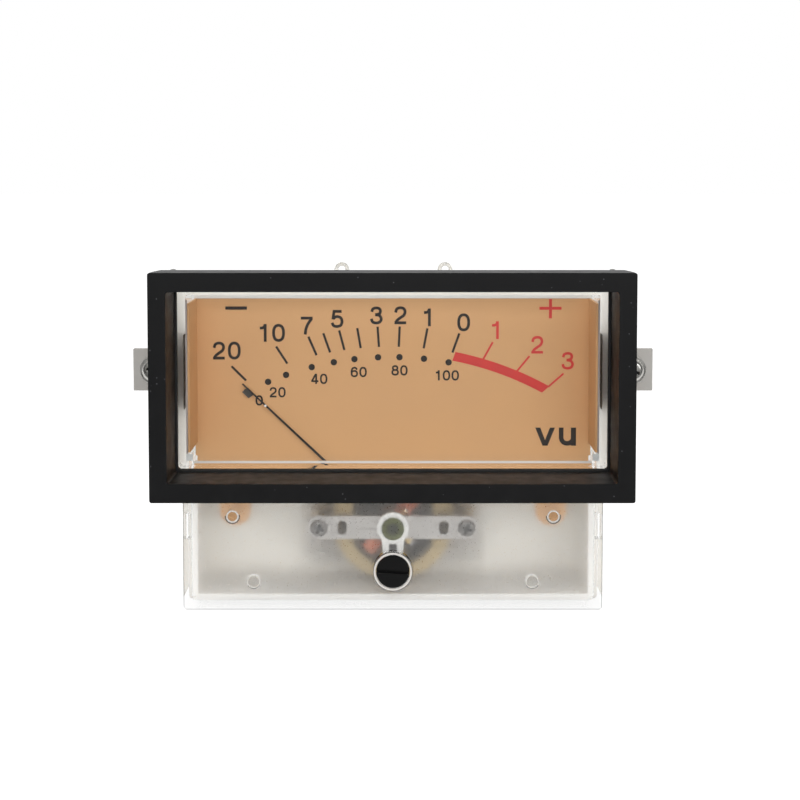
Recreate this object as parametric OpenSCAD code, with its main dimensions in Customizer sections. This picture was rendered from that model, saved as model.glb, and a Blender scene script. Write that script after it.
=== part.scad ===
// Panel level meter: a moving-coil movement behind a clear window, with a black bezel.
// Millimetres. X runs to the right of the dial, Z up, and the dial faces -Y.
// The origin is the centre of the bezel's opening, on the bezel's rear face.

/* [Case] */
// Width of the clear window and of the case behind it
case_w = 90; // [82:1:110]
// Height of the window block that shows through the bezel
window_h = 38.2; // [34:0.2:48]
// How far the lower case reaches below the window block
case_drop = 31.8; // [31:0.2:38]
// How far the window block stands in front of the lower case
window_stand = 6.2; // [5:0.1:9]
// Depth of the clear cover behind the lower front
cover_d = 11.8; // [9.8:0.1:16]
// Space between the movement's rear plate and the rear wall of the housing
rear_space = 2.6; // [1.6:0.1:9.6]
// Wall of the clear cover
cover_t = 1.65; // [1.3:0.05:2]
// Thickness of the window itself
window_t = 1.8; // [1.5:0.1:2.2]
// Thickness of the lower front
lower_t = 1.5; // [1.2:0.1:1.9]
// Wall of the rear housing
housing_t = 1.6; // [1.2:0.1:2.2]
// Wall of the rim that plugs into the cover
rim_t = 1.2; // [0.8:0.1:1.3]
// Corner radius of the window block and case
case_r = 0.8; // [0.4:0.1:1.4]

/* [Bezel] */
// Depth of the bezel, front to back
bezel_d = 14; // [10:0.5:20]
// Width of the bezel's frame at each side
bezel_side = 3.55; // [3.4:0.05:8]
// Width of the bezel's frame above and below
bezel_top = 3.85; // [3.7:0.05:8]
// How much each side leans in towards the rear
draft_side = 0.3; // [0:0.05:0.4]
// How much the top and bottom lean in towards the rear
draft_top = 0.5; // [0:0.05:0.6]
// How far the window block enters the bezel
window_in = 2; // [1.5:0.1:3]
// Thickness of the rubber ring round the window block
gasket_t = 1.2; // [0.8:0.1:1.3]
// Free length of the bezel's four studs
stud_len = 8; // [5:0.5:12]

/* [Dial and pointer] */
// How far the dial lies behind the inside of the lower front
dial_depth = 5.3; // [5.3:0.1:6.2]
// Thickness of the dial plate
dial_t = 0.8; // [0.5:0.1:1]
// How far the pivot lies below the window block
pivot_drop = 14.7; // [14:0.1:16]
// Space left between the needle's tip and the top of the window block
tip_margin = 7.9; // [5:0.1:12]
// Needle's rest position, in degrees left of straight up
rest_angle = 46.56; // [40:0.1:50]
// Full swing of the needle in degrees
swing = 97; // [80:1:100]

/* [Movement] */
// Radius of the round core magnet
core_r = 6.8; // [5.6:0.1:7]
// Outer radius of the iron ring round the coil
yoke_r = 13.3; // [12:0.1:13.4]
// Depth of the core and of the ring
yoke_d = 9; // [8:0.5:11]
// Radius of the pointer's shaft
shaft_r = 0.5; // [0.4:0.05:0.6]
// Turns of each hairspring
spring_turns = 4.5; // [3.5:1:4.5]
// Step from one turn of a hairspring to the next
spring_pitch = 0.75; // [0.65:0.05:0.75]
// Distance from the pivot to each bridge screw
bridge_reach = 16; // [15.6:0.1:18]

/* [Zero adjuster] */
// Distance from the pivot down to the adjusting screw
zero_drop = 8.6; // [8.4:0.1:8.8]
// How far the eccentric pin sits off the adjusting screw's axis
zero_throw = 1.5; // [1.2:0.1:1.5]
// Radius of the adjusting screw's head
zero_head_r = 3.55; // [3:0.05:3.6]

/* [Mounting and terminals] */
// Distance from the case's side to the screw in each ear
ear_reach = 7; // [7:0.5:20]
// Height of each side ear
ear_h = 9.2; // [8:0.1:14]
// Thickness of the bracket sheet
bracket_t = 1.2; // [0.8:0.1:1.5]
// Distance between the two signal terminals
terminal_pitch = 24; // [20:0.5:25]
// Distance between the two lamp pins
lamp_pin_pitch = 40; // [38:0.5:44]

/* [Hidden] */

// Round faces
fine = 64;
small = 32;
// How far a cutting shape runs past the faces it cuts
past = 0.2;
// Gap between parts that slide into each other by hand
slip = 0.15;
// Radial gap of a running fit
run = 0.05;
// Gap between fixed pieces that almost meet
near = 0.1;

// Depths along Y, front to back
y_bezel = -bezel_d;
y_window = -window_in;
y_lip = y_window - 1;
y_step = y_window + window_stand;
y_window_in = y_window + window_t;
y_lower_in = y_step + lower_t;
y_split = y_step + cover_d;
y_dial = y_lower_in + dial_depth;
y_dial_back = y_dial + dial_t;
y_rim = y_dial_back + near;
y_rim_low = y_lower_in + 4 * near;

// Heights along Z
z_top = window_h / 2;
z_window = -window_h / 2;
z_bottom = z_window - case_drop;
z_pivot = z_window - pivot_drop;
z_zero = z_pivot - zero_drop;
half_w = case_w / 2;
case_h = z_top - z_bottom;
z_mid = (z_top + z_bottom) / 2;

// The bezel's opening, its rebate and its outside
opening_w = case_w + 0.4;
opening_h = window_h + 0.4;
bezel_w = opening_w + 2 * bezel_side;
bezel_h = opening_h + 2 * bezel_top;
bezel_r = 0.5;
stud_r = 1;
stud_core_r = 0.8;
stud_depth = 5;
relief_t = 0.5;
stud_x = half_w + 2.15;
stud_z = z_top + 2.2;

// The rim slips inside the cover's wall
rim_x = half_w - cover_t - slip;
rim_top = z_top - cover_t - slip;

// Dial plate with its two ears and the arch over the movement
dial_x = rim_x - near;
dial_top = rim_top - 1.7;
dial_bottom = z_pivot + 6.3;
arch_r = 11.2;
ear_x = half_w - 10.5;
ear_z = z_pivot + 2.9;
ear_r = 3.4;
clamp_r = 1.4;
post_r = 2;
corner_post = 1.4;

// Sides of the dial plate, turned forwards along the cover's walls above the corner posts
wing_t = 0.5;
y_wing = y_window_in + 0.5;
wing_bottom = z_window + cover_t + corner_post + 2 * near;

// Snap windows in the cover's sides, and the ramps that fill them
snap_z = z_pivot - 0.3;
snap_h = 5.6;
snap_d = 2.5;
y_snap = y_split - 4.5;

// Movement: depths along the pointer's shaft
jewel_head_t = 0.6;
y_jewel_head = y_dial - 4.9;
y_lever = y_jewel_head + jewel_head_t + run;
lever_t = 0.5;
y_bridge = y_lever + lever_t + run;
bridge_t = 1.1;
y_bridge_back = y_bridge + bridge_t;
jewel_len = 0.9;
jewel_stand = 0.4;
y_front_jewel = y_bridge_back + near;
spring_gap = 0.3;
y_spring = y_bridge_back + spring_gap;
spring_w = 0.4;
y_needle = y_dial - 1.1;
needle_t = 0.25;
hub_t = 0.6;
y_hub = y_needle - 0.2;
y_coil = y_dial_back + 0.3;
coil_end_t = 0.85;
bobbin_t = 0.25;
end_gap = 0.5;
y_yoke = y_coil + coil_end_t + bobbin_t + end_gap;
y_yoke_back = y_yoke + yoke_d;
y_coil_back = y_yoke_back + end_gap + bobbin_t + coil_end_t;
y_rear_spring = y_coil_back + 0.15;
y_plate = y_coil_back + 1.3;
plate_t = 1.2;
y_plate_back = y_plate + plate_t;
y_rear_jewel = y_plate - jewel_stand;

// The housing is as deep as the movement needs
housing_d = y_plate_back + rear_space + housing_t - y_split;
y_back = y_split + housing_d;
y_rear_in = y_back - housing_t;

// Movement: radii and widths
neck_r = 1.8;
jewel_head_r = 2.4;
rear_neck_r = 1.5;
jewel_r = 0.9;
cup_r = 0.35;
cup_depth = 0.5;
journal_r = 0.3;
ring_r = 3.45;
arm_h = 5;
bridge_end = 2.65;
bridge_screw_len = 2.6;
pillar_r = 1.9;
spacer_r = 1.5;
collet_r = 1;
spring_t = 0.12;
spring_r_in = collet_r + 0.02 + spring_t / 2;
spring_r_out = spring_r_in + spring_turns * spring_pitch;
spring_lug_top = 6;
bobbin_x = core_r + 0.4;
coil_x = bobbin_x + bobbin_t;
coil_out = coil_x + 1.05;
coil_half = 1.5;
bobbin_half = 1.7;
yoke_r_in = coil_out + 0.5;
yoke_mid_r = (yoke_r + yoke_r_in) / 2;
needle_w = 0.65;
needle_root = 1;
hub_r = 1.6;
pointer_len = z_top - z_pivot - tip_margin;
arm_len = 6;
side_arm_len = 4.5;
arm_w = 0.8;
stop_ring_r = 10;
stop_r = 0.4;
stop_gap = 0.05;
coil_mid_angle = swing / 2;

// Zero adjuster
boss_t = 0.7;
head_gap = 0.1;
boss_front = y_step - 0.8;
y_zero_head = boss_front + run;
zero_head_t = 1.4;
y_zero_seat = y_zero_head + zero_head_t + run;
zero_shaft_r = 1.52;
zero_bore_r = zero_shaft_r + 0.08;
flange_r = 2.15;
flange_t = 0.45;
pin_r = 0.4;
fork_gap = 0.13;
fork_depth = 2.4;
lever_len = 8.3;

// Rear plate and its screws
plate_half_x = 20;
plate_half_z = 12.8;
plate_edge = z_pivot + plate_half_z;
plate_mid = y_plate + plate_t / 2;
plate_screw_x = 17;
plate_screw_z = 11;
plate_boss_r = 2.2;
m2_r = 0.8;
m2_head_r = 1.8;

// Terminals and boards, from the rear wall forwards
terminal_x = terminal_pitch / 2;
terminal_z = z_top - 10.1;
board_t = 1.2;
y_board = y_rear_in - board_t;
stud_head_t = 2;
stud_head_r = 2.75;
thread_r = 1.5;
thread_core_r = 1.34;
m3_hole_r = 1.6;
washer_t = 0.5;
lug_t = 0.6;
m3_nut_t = 2.4;
thread_end = 3.5;
y_washer = y_back;
y_lug = y_washer + washer_t;
y_nut = y_lug + lug_t;
y_thread = y_nut + m3_nut_t;
lamp_z = z_window + 15.1;
lamp_board_h = 8;
lamp_board_w = lamp_pin_pitch + 10;
lamp_board_gap = 1.2;
y_lamp_board = y_rear_in - lamp_board_gap - board_t;
lamp_pin_r = 0.5;
lamp_pin_core_r = 0.3;
lamp_pin_len = 5;
lamp_r = 2.5;
lamp_len = 5.6;
lamp_pitch = 16;

// Side brackets and their screws
leg_h = 16.4;
leg_d = 13;
ear_y = y_split - 5;
ear_pitch = case_w + 2 * ear_reach;
ear_tip = ear_pitch / 2 + 4.6;
screw_x = ear_pitch / 2;
screw_r = 1.25;
screw_core_r = 1.05;
screw_hole_r = 1.4;
screw_head_r = 2.5;
screw_head_t = 1.9;
ear_washer_r = 3.1;
ear_washer_t = 0.5;
ear_nut_r = 2.89;
ear_nut_t = 2;
ear_thread_end = 6;
fixing_r = 0.9;
fixing_boss_r = 2.1;
fixing_boss_d = 1.8;
fixing_z = 5;
y_fixing = y_split + 4.5;

// The two internal leads: straight at both ends, then points chosen by hand. Each passes
// in front of the lamp board, between two lamps, and turns back to the rectifier board
lead_r = 0.55;
lead_x = 7;
lead_y = y_lamp_board - 0.8;
lead_end_z = terminal_z - 4;
lug_mid = (y_rear_spring - run + y_plate) / 2;
lug_end = z_pivot + spring_lug_top;
positive_route = [
    [0, lug_mid, lug_end], [0, lug_mid, lug_end + 0.8], [0, lug_mid, lug_end + 1.6],
    [1, y_plate - 1.1, lug_end + 3.5], [3, y_plate - 1.4, lug_end + 6.5],
    [5.4, y_plate - 1, lug_end + 10], [lead_x - 0.2, lead_y - 0.8, lamp_z - 9],
    [lead_x, lead_y - 0.2, lamp_z - 5], [lead_x, lead_y, lamp_z], [lead_x, lead_y, lamp_z + 4],
    [lead_x, lead_y - 0.2, lead_end_z - 2], [lead_x, lead_y + 0.2, lead_end_z - 0.3],
    [lead_x, y_board - 1.2, lead_end_z], [lead_x, y_board - 0.6, lead_end_z],
    [lead_x, y_board, lead_end_z]
];
negative_route = [
    [-8, plate_mid, plate_edge], [-8, plate_mid, plate_edge + 0.8], [-8, plate_mid, plate_edge + 1.6],
    [-7.6, lead_y, lamp_z - 12], [-lead_x, lead_y, lamp_z - 8], [-lead_x, lead_y, lamp_z],
    [-lead_x, lead_y, lamp_z + 4], [-lead_x, lead_y - 0.2, lead_end_z - 2],
    [-lead_x, lead_y + 0.2, lead_end_z - 0.3], [-lead_x, y_board - 1.2, lead_end_z],
    [-lead_x, y_board - 0.6, lead_end_z], [-lead_x, y_board, lead_end_z]
];

// ---- Building shapes -------------------------------------------------------

// A flat outline in X and Z, given depth from y0 to y1
module slab(y0, y1) {
    translate([0, y1, 0]) rotate([90, 0, 0]) linear_extrude(y1 - y0) children();
}

// A round bar along Y
module rod(r, y0, y1, x = 0, z = 0) {
    translate([x, y0, z]) rotate([-90, 0, 0]) cylinder(r = r, h = y1 - y0, $fn = fine);
}

// A ring or washer along Y
module ring(r_out, r_in, y0, y1, x = 0, z = 0) {
    difference() {
        rod(r_out, y0, y1, x, z);
        rod(r_in, y0 - past, y1 + past, x, z);
    }
}

// A rectangle with round corners, centred
module round_rect(w, h, r) {
    square([w - 2 * r, h], center = true);
    square([w, h - 2 * r], center = true);
    for (sx = [-1, 1], sz = [-1, 1])
        translate([sx * (w / 2 - r), sz * (h / 2 - r)]) circle(r, $fn = small);
}

// A bar with round ends, centred, lying along X
module stadium(w, h) {
    square([w - h, h], center = true);
    for (sx = [-1, 1]) translate([sx * (w - h) / 2, 0]) circle(h / 2, $fn = fine);
}

// A box from its low corner to its high corner
module block(low, high) {
    translate(low) cube(high - low);
}

// A pan head whose face looks along -Y, with a cross recess
module pan_head(r, t, y0, x, z) {
    crown = [for (a = [0:15:75]) [r * (0.62 + 0.38 * cos(a)), t * (0.4 + 0.6 * sin(a))]];
    difference() {
        translate([x, y0 + t, z]) rotate([90, 0, 0])
            rotate_extrude($fn = small) polygon(concat([[0, 0], [r, 0]], crown, [[0, t]]));
        for (turn = [0, 90])
            translate([x, y0, z]) rotate([0, turn + 20, 0])
                cube([r * 1.15, t * 1.1, r * 0.26], center = true);
    }
}

// A hexagon nut along Y, with a round hole
module nut(r_corner, r_hole, y0, y1, x, z) {
    difference() {
        translate([x, y0, z]) rotate([-90, 0, 0]) cylinder(r = r_corner, h = y1 - y0, $fn = 6);
        rod(r_hole, y0 - past, y1 + past, x, z);
    }
}

// ---- Bezel -------------------------------------------------------------------

// The bezel's outside: a rounded block whose four sides lean in towards the rear
module bezel_block() {
    intersection() {
        slab(y_bezel, 0) round_rect(bezel_w, bezel_h, bezel_r);
        translate([0, 0, -bezel_h]) linear_extrude(2 * bezel_h)
            polygon([[-bezel_w / 2, y_bezel], [bezel_w / 2, y_bezel],
                     [bezel_w / 2 - draft_side, 0], [-bezel_w / 2 + draft_side, 0]]);
        translate([-bezel_w, 0, 0]) rotate([90, 0, 90]) linear_extrude(2 * bezel_w)
            polygon([[y_bezel, -bezel_h / 2], [0, -bezel_h / 2 + draft_top],
                     [0, bezel_h / 2 - draft_top], [y_bezel, bezel_h / 2]]);
    }
}

module at_studs() {
    for (sx = [-1, 1], sz = [-1, 1]) translate([sx * stud_x, 0, sz * stud_z]) children();
}

module bezel_frame() {
    color([0.13, 0.13, 0.13]) difference() {
        bezel_block();
        slab(y_bezel - past, past) round_rect(opening_w, opening_h, 0.6);
        slab(y_lip, past) round_rect(case_w + 2 * gasket_t, window_h + 2 * gasket_t, case_r + gasket_t);
        at_studs() {
            rod(stud_core_r, -stud_depth, past);
            rod(stud_r + run, -relief_t, past);
        }
    }
}

module bezel_studs() {
    color([0.62, 0.6, 0.55]) at_studs() {
        rod(stud_core_r, -stud_depth, 0);
        rod(stud_r, 0, stud_len);
    }
}

module window_gasket() {
    lip = 0.2;
    color([0.05, 0.05, 0.05]) difference() {
        slab(y_lip, -past) round_rect(case_w + 2 * gasket_t, window_h + 2 * gasket_t, case_r + gasket_t);
        slab(y_window, past) round_rect(case_w, window_h, case_r);
        slab(y_lip - past, y_window + past) round_rect(case_w - 2 * lip, window_h - 2 * lip, case_r);
    }
}

// ---- Case -----------------------------------------------------------------------

// A case section between two depths, shrunk by inset on every side
module case_section(y0, y1, inset, r) {
    translate([0, 0, z_mid]) slab(y0, y1) round_rect(case_w - 2 * inset, case_h - 2 * inset, r);
}

module front_cover() {
    inner_r = 0.4;
    color([0.86, 0.9, 0.92, 0.4]) {
        difference() {
            union() {
                slab(y_window, y_step + past) round_rect(case_w, window_h, case_r);
                case_section(y_step, y_split, 0, case_r);
                rod(zero_head_r + boss_t, boss_front, y_step + past, 0, z_zero);
            }
            slab(y_window_in, y_lower_in + past)
                round_rect(case_w - 2 * cover_t, window_h - 2 * cover_t, inner_r);
            case_section(y_lower_in, y_split + past, cover_t, inner_r);
            rod(zero_head_r + head_gap, boss_front - past, y_zero_seat, 0, z_zero);
            rod(zero_bore_r, y_zero_seat - past, y_lower_in + past, 0, z_zero);
            for (sx = [-1, 1])
                block([sx * half_w - 3, y_snap, snap_z - snap_h / 2],
                      [sx * half_w + 3, y_snap + snap_d, snap_z + snap_h / 2]);
        }
        for (sx = [-1, 1]) {
            rod(clamp_r, y_lower_in, y_dial, sx * ear_x, ear_z);
            rod(clamp_r, y_lower_in, y_lower_in + 1.1, sx * (half_w - 15), z_bottom + 5.8);
        }
        corner_posts();
    }
}

// Two slim posts inside the window's lower corners, which reach back to the dial
module corner_posts() {
    side = corner_post;
    for (sx = [-1, 1])
        translate([sx * (half_w - cover_t - side / 2), 0, z_window + cover_t + side / 2])
            block([-side / 2, y_window_in, -side / 2], [side / 2, y_dial, side / 2]);
}

module rear_housing() {
    color([0.93, 0.91, 0.87]) {
        difference() {
            union() {
                case_section(y_split, y_back, 0, case_r);
                rim();
                for (sx = [-1, 1]) snap_ramp(sx);
            }
            case_section(y_split + housing_t, y_rear_in, housing_t, 0.4);
            case_section(y_rim_low - past, y_split + housing_t + past, cover_t + slip + rim_t, 0.4);
            for (sx = [-1, 1]) {
                rod(m3_hole_r, y_rear_in - past, y_back + past, sx * terminal_x, terminal_z);
                rod(lamp_pin_core_r, y_rear_in - past, y_back + past, sx * lamp_pin_pitch / 2, lamp_z);
                at_fixings(sx) cylinder(r = fixing_r, h = 6, center = true, $fn = small);
            }
        }
        for (sx = [-1, 1]) {
            rod(post_r, y_dial_back + near, y_rear_in, sx * ear_x, ear_z);
            at_plate_screws() ring(plate_boss_r, m2_r, y_plate_back, y_rear_in);
            at_fixings(sx) fixing_boss(sx);
        }
    }
}

// The rim that plugs into the cover: tall round the movement, short behind the dial
module rim() {
    inset = cover_t + slip;
    z_cut = dial_bottom - 0.4;
    difference() {
        case_section(y_rim_low, y_split + past, inset, 0.5);
        block([-half_w, y_rim_low - past, z_cut], [half_w, y_rim, z_top]);
    }
}

// A ramp that snaps into the window in the cover's side
module snap_ramp(sx) {
    rise = cover_t - 0.45;
    x0 = rim_x - 0.3;
    z0 = snap_z - snap_h / 2 + 0.2;
    translate([0, 0, z0]) linear_extrude(snap_h - 0.4)
        polygon([[sx * x0, y_snap + 0.2], [sx * rim_x, y_snap + 0.2],
                 [sx * (rim_x + rise), y_snap + snap_d - 0.4],
                 [sx * (rim_x + rise), y_snap + snap_d - 0.2], [sx * x0, y_snap + snap_d - 0.2]]);
}

module at_plate_screws() {
    for (sx = [-1, 1], sz = [-1, 1])
        translate([sx * plate_screw_x, 0, z_pivot + sz * plate_screw_z]) children();
}

// The two fixing screws at one side, as an axis along X through the housing's wall
module at_fixings(sx) {
    for (sz = [-1, 1])
        translate([sx * half_w, y_fixing, sz * fixing_z]) rotate([0, 90, 0]) children();
}

module fixing_boss(sx) {
    translate([0, 0, sx > 0 ? -housing_t - fixing_boss_d : housing_t]) difference() {
        cylinder(r = fixing_boss_r, h = fixing_boss_d, $fn = small);
        translate([0, 0, -past]) cylinder(r = fixing_r, h = fixing_boss_d + 2 * past, $fn = small);
    }
}

// ---- Dial -----------------------------------------------------------------------

module dial_plate() {
    color([0.76, 0.6, 0.42]) {
        slab(y_dial, y_dial_back) difference() {
            union() {
                translate([-dial_x, dial_bottom]) square([2 * dial_x, dial_top - dial_bottom]);
                for (sx = [-1, 1]) translate([sx * ear_x, ear_z]) {
                    circle(ear_r, $fn = fine);
                    translate([-ear_r, 0]) square([2 * ear_r, dial_bottom - ear_z + 0.1]);
                }
            }
            translate([0, z_pivot]) circle(arch_r, $fn = fine);
        }
        for (sx = [-1, 1]) translate([sx * (dial_x - wing_t / 2), 0, 0])
            block([-wing_t / 2, y_wing, wing_bottom], [wing_t / 2, y_dial + near, dial_top]);
    }
}

// ---- Bridge, jewels and pivots ----------------------------------------------------

module front_bridge() {
    slot_x = 11;
    color([0.86, 0.84, 0.8]) translate([0, 0, z_pivot]) slab(y_bridge, y_bridge_back) difference() {
        union() {
            stadium(2 * (bridge_reach + bridge_end), arm_h);
            circle(ring_r, $fn = fine);
        }
        circle(neck_r, $fn = fine);
        for (sx = [-1, 1]) {
            translate([sx * bridge_reach, 0]) circle(m2_r, $fn = small);
            translate([sx * slot_x, 0]) rotate(90) stadium(3, 1.95);
        }
    }
}

module bridge_pillars() {
    hole_end = y_bridge_back + bridge_screw_len + 2 * near;
    color([0.78, 0.66, 0.4]) for (sx = [-1, 1]) difference() {
        rod(pillar_r, y_bridge_back, y_plate, sx * bridge_reach, z_pivot);
        rod(m2_r, y_bridge_back - past, hole_end, sx * bridge_reach, z_pivot);
    }
}

module bridge_screws() {
    head_t = 0.9;
    color([0.7, 0.7, 0.7]) for (sx = [-1, 1]) {
        pan_head(m2_head_r, head_t, y_bridge - head_t, sx * bridge_reach, z_pivot);
        rod(m2_r, y_bridge, y_bridge_back + bridge_screw_len, sx * bridge_reach, z_pivot);
    }
}

// A straight slot across a jewel screw's head
module jewel_slot(y, turn) {
    slot_w = 0.4;
    slot_depth = 0.3;
    translate([0, y, z_pivot]) rotate([0, turn, 0])
        cube([2 * jewel_head_r + 1, 2 * slot_depth, slot_w], center = true);
}

module front_jewel_screw() {
    color([0.72, 0.7, 0.45]) difference() {
        union() {
            rod(jewel_head_r, y_jewel_head, y_lever - run, 0, z_pivot);
            rod(neck_r, y_lever - run, y_bridge_back, 0, z_pivot);
        }
        rod(jewel_r, y_front_jewel - jewel_len, y_bridge_back + past, 0, z_pivot);
        jewel_slot(y_jewel_head, 25);
    }
}

module rear_jewel_screw() {
    head_t = 0.8;
    color([0.72, 0.7, 0.45]) difference() {
        union() {
            rod(rear_neck_r, y_rear_jewel, y_plate_back, 0, z_pivot);
            rod(jewel_head_r, y_plate_back, y_plate_back + head_t, 0, z_pivot);
        }
        rod(jewel_r, y_rear_jewel - past, y_rear_jewel + jewel_len, 0, z_pivot);
        jewel_slot(y_plate_back + head_t, 0);
    }
}

// Two cup jewels, one in the end of each jewel screw
module pivot_jewels() {
    color([0.6, 0.1, 0.3]) {
        difference() {
            rod(jewel_r, y_front_jewel - jewel_len, y_front_jewel, 0, z_pivot);
            rod(cup_r, y_front_jewel - cup_depth, y_front_jewel + past, 0, z_pivot);
        }
        difference() {
            rod(jewel_r, y_rear_jewel, y_rear_jewel + jewel_len, 0, z_pivot);
            rod(cup_r, y_rear_jewel - past, y_rear_jewel + cup_depth, 0, z_pivot);
        }
    }
}

module front_pivot() {
    y_journal = y_bridge_back - 0.3;
    color([0.6, 0.62, 0.65]) {
        rod(journal_r, y_journal, y_bridge_back + 0.2, 0, z_pivot);
        rod(shaft_r, y_bridge_back + 0.2, y_coil, 0, z_pivot);
    }
}

module rear_pivot() {
    y_journal = y_plate - 0.5;
    color([0.6, 0.62, 0.65]) {
        rod(shaft_r, y_coil_back, y_journal, 0, z_pivot);
        rod(journal_r, y_journal, y_plate, 0, z_pivot);
    }
}

// ---- Hairsprings and zero lever ------------------------------------------------------

// A flat spiral ribbon: radius grows evenly with the angle, from a to b degrees
module spiral_ribbon(r_in, pitch, turns, thick, start) {
    steps = 24 * turns;
    line = [for (i = [0:steps]) let (a = i * 15, r = r_in + pitch * a / 360) [r, start + a]];
    inner = [for (p = line) (p[0] - thick / 2) * [cos(p[1]), sin(p[1])]];
    outer = [for (i = [steps:-1:0]) (line[i][0] + thick / 2) * [cos(line[i][1]), sin(line[i][1])]];
    polygon(concat(inner, outer));
}

// Least gap between neighbouring turns of a hairspring
echo(hairspring_gap = spring_pitch - spring_t);

// Its outer end stops at the bottom, on the lever's tab
module front_hairspring() {
    color([0.8, 0.65, 0.3]) translate([0, 0, z_pivot]) slab(y_spring, y_spring + spring_w)
        spiral_ribbon(spring_r_in, spring_pitch, spring_turns, spring_t, 90);
}

// Its outer end stops at the top, on the rear lug
module rear_hairspring() {
    color([0.8, 0.65, 0.3]) translate([0, 0, z_pivot]) slab(y_rear_spring, y_rear_spring + spring_w)
        spiral_ribbon(spring_r_in, spring_pitch, spring_turns, spring_t, 270);
}

module hairspring_collets() {
    color([0.75, 0.6, 0.3]) {
        ring(collet_r, shaft_r, y_spring - run, y_spring + spring_w + run, 0, z_pivot);
        ring(collet_r, shaft_r, y_rear_spring - near, y_rear_spring + spring_w + run, 0, z_pivot);
    }
}

module rear_spring_lug() {
    half = 0.7;
    r0 = spring_r_out + spring_t / 2;
    color([0.8, 0.65, 0.3]) translate([0, 0, z_pivot])
        block([-half, y_rear_spring - run, r0], [half, y_plate, spring_lug_top]);
}

module zero_lever() {
    tab_z = -spring_r_out - spring_t / 2;
    fork_w = 2 * (pin_r + fork_gap);
    color([0.94, 0.93, 0.9]) translate([0, 0, z_pivot]) {
        slab(y_lever, y_lever + lever_t) difference() {
            union() {
                circle(ring_r, $fn = fine);
                polygon([[-2.5, -2.2], [2.5, -2.2], [1.8, -lever_len], [-1.8, -lever_len]]);
            }
            circle(neck_r + run, $fn = fine);
            translate([-fork_w / 2, -lever_len - past]) square([fork_w, fork_depth + past]);
        }
        block([-0.6, y_lever, tab_z - 0.5], [0.6, y_spring + spring_w, tab_z]);
    }
}

module zero_screw() {
    slot_w = 0.8;
    slot_depth = 0.9;
    color([0.07, 0.07, 0.06]) {
        difference() {
            rod(zero_head_r, y_zero_head, y_zero_head + zero_head_t, 0, z_zero);
            translate([0, y_zero_head, z_zero]) rotate([0, 4, 0])
                cube([2 * zero_head_r + 1, 2 * slot_depth, slot_w], center = true);
        }
        rod(zero_shaft_r, y_zero_head + zero_head_t, y_lower_in + run, 0, z_zero);
        rod(flange_r, y_lower_in + run, y_lower_in + run + flange_t, 0, z_zero);
        rod(pin_r, y_lower_in + run + flange_t, y_lever + lever_t + 0.35, 0, z_zero + zero_throw);
    }
}

// ---- Pointer and coil ------------------------------------------------------------------

// Places children, drawn pointing straight up from the pivot, at the pointer's rest angle
module at_rest() {
    translate([0, 0, z_pivot]) rotate([0, -rest_angle, 0]) children();
}

module pointer_needle() {
    color([0.08, 0.07, 0.07]) at_rest()
        slab(y_needle, y_needle + needle_t)
            polygon([[-needle_w / 2, needle_root], [needle_w / 2, needle_root], [needle_w / 2, 2 * hub_r],
                     [needle_w / 4, pointer_len], [-needle_w / 4, pointer_len], [-needle_w / 2, 2 * hub_r]]);
}

module pointer_hub() {
    color([0.5, 0.5, 0.5]) at_rest() difference() {
        union() {
            rod(hub_r, y_hub, y_hub + hub_t);
            block([-arm_w / 2, y_needle - 0.15, -arm_len], [arm_w / 2, y_needle + 0.3, 0]);
            block([-side_arm_len, y_needle - 0.15, -arm_w / 2],
                  [side_arm_len, y_needle + 0.3, arm_w / 2]);
        }
        rod(shaft_r, y_hub - past, y_hub + hub_t + past);
        block([-needle_w / 2, y_needle, needle_root], [needle_w / 2, y_needle + needle_t, 2 * hub_r]);
    }
}

// Small weights slid on the three arms so that the pointer balances in any position
module balance_weights() {
    w = 1.4;
    color([0.75, 0.75, 0.7]) at_rest() for (spot = [[0, -4.6], [-3.4, 0], [3.4, 0]])
        translate([spot[0], 0, spot[1]]) difference() {
            block([-w / 2, y_needle - 0.4, -w / 2], [w / 2, y_needle + 0.55, w / 2]);
            block([-(spot[0] == 0 ? arm_w / 2 : w), y_needle - 0.15, -(spot[0] == 0 ? w : arm_w / 2)],
                  [spot[0] == 0 ? arm_w / 2 : w, y_needle + 0.3, spot[0] == 0 ? w : arm_w / 2]);
        }
}

// Turns the coil so that its sides stand level when the pointer is at mid-swing
module at_coil_rest() {
    translate([0, 0, z_pivot]) rotate([0, -coil_mid_angle, 0]) children();
}

module coil_bobbin() {
    color([0.75, 0.76, 0.78]) at_coil_rest() difference() {
        block([-coil_x, y_coil + coil_end_t, -bobbin_half], [coil_x, y_coil_back - coil_end_t, bobbin_half]);
        block([-bobbin_x, y_yoke - end_gap, -bobbin_half - past],
              [bobbin_x, y_yoke_back + end_gap, bobbin_half + past]);
    }
}

module moving_coil() {
    color([0.66, 0.36, 0.22]) at_coil_rest() difference() {
        block([-coil_out, y_coil, -coil_half], [coil_out, y_coil_back, coil_half]);
        block([-coil_x, y_coil + coil_end_t, -coil_half - past],
              [coil_x, y_coil_back - coil_end_t, coil_half + past]);
    }
}

// ---- Magnet system -----------------------------------------------------------------------

module core_magnet() {
    color([0.45, 0.45, 0.47]) rod(core_r, y_yoke, y_yoke_back, 0, z_pivot);
}

module yoke_ring() {
    color([0.78, 0.62, 0.35]) ring(yoke_r, yoke_r_in, y_yoke, y_yoke_back, 0, z_pivot);
}

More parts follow.
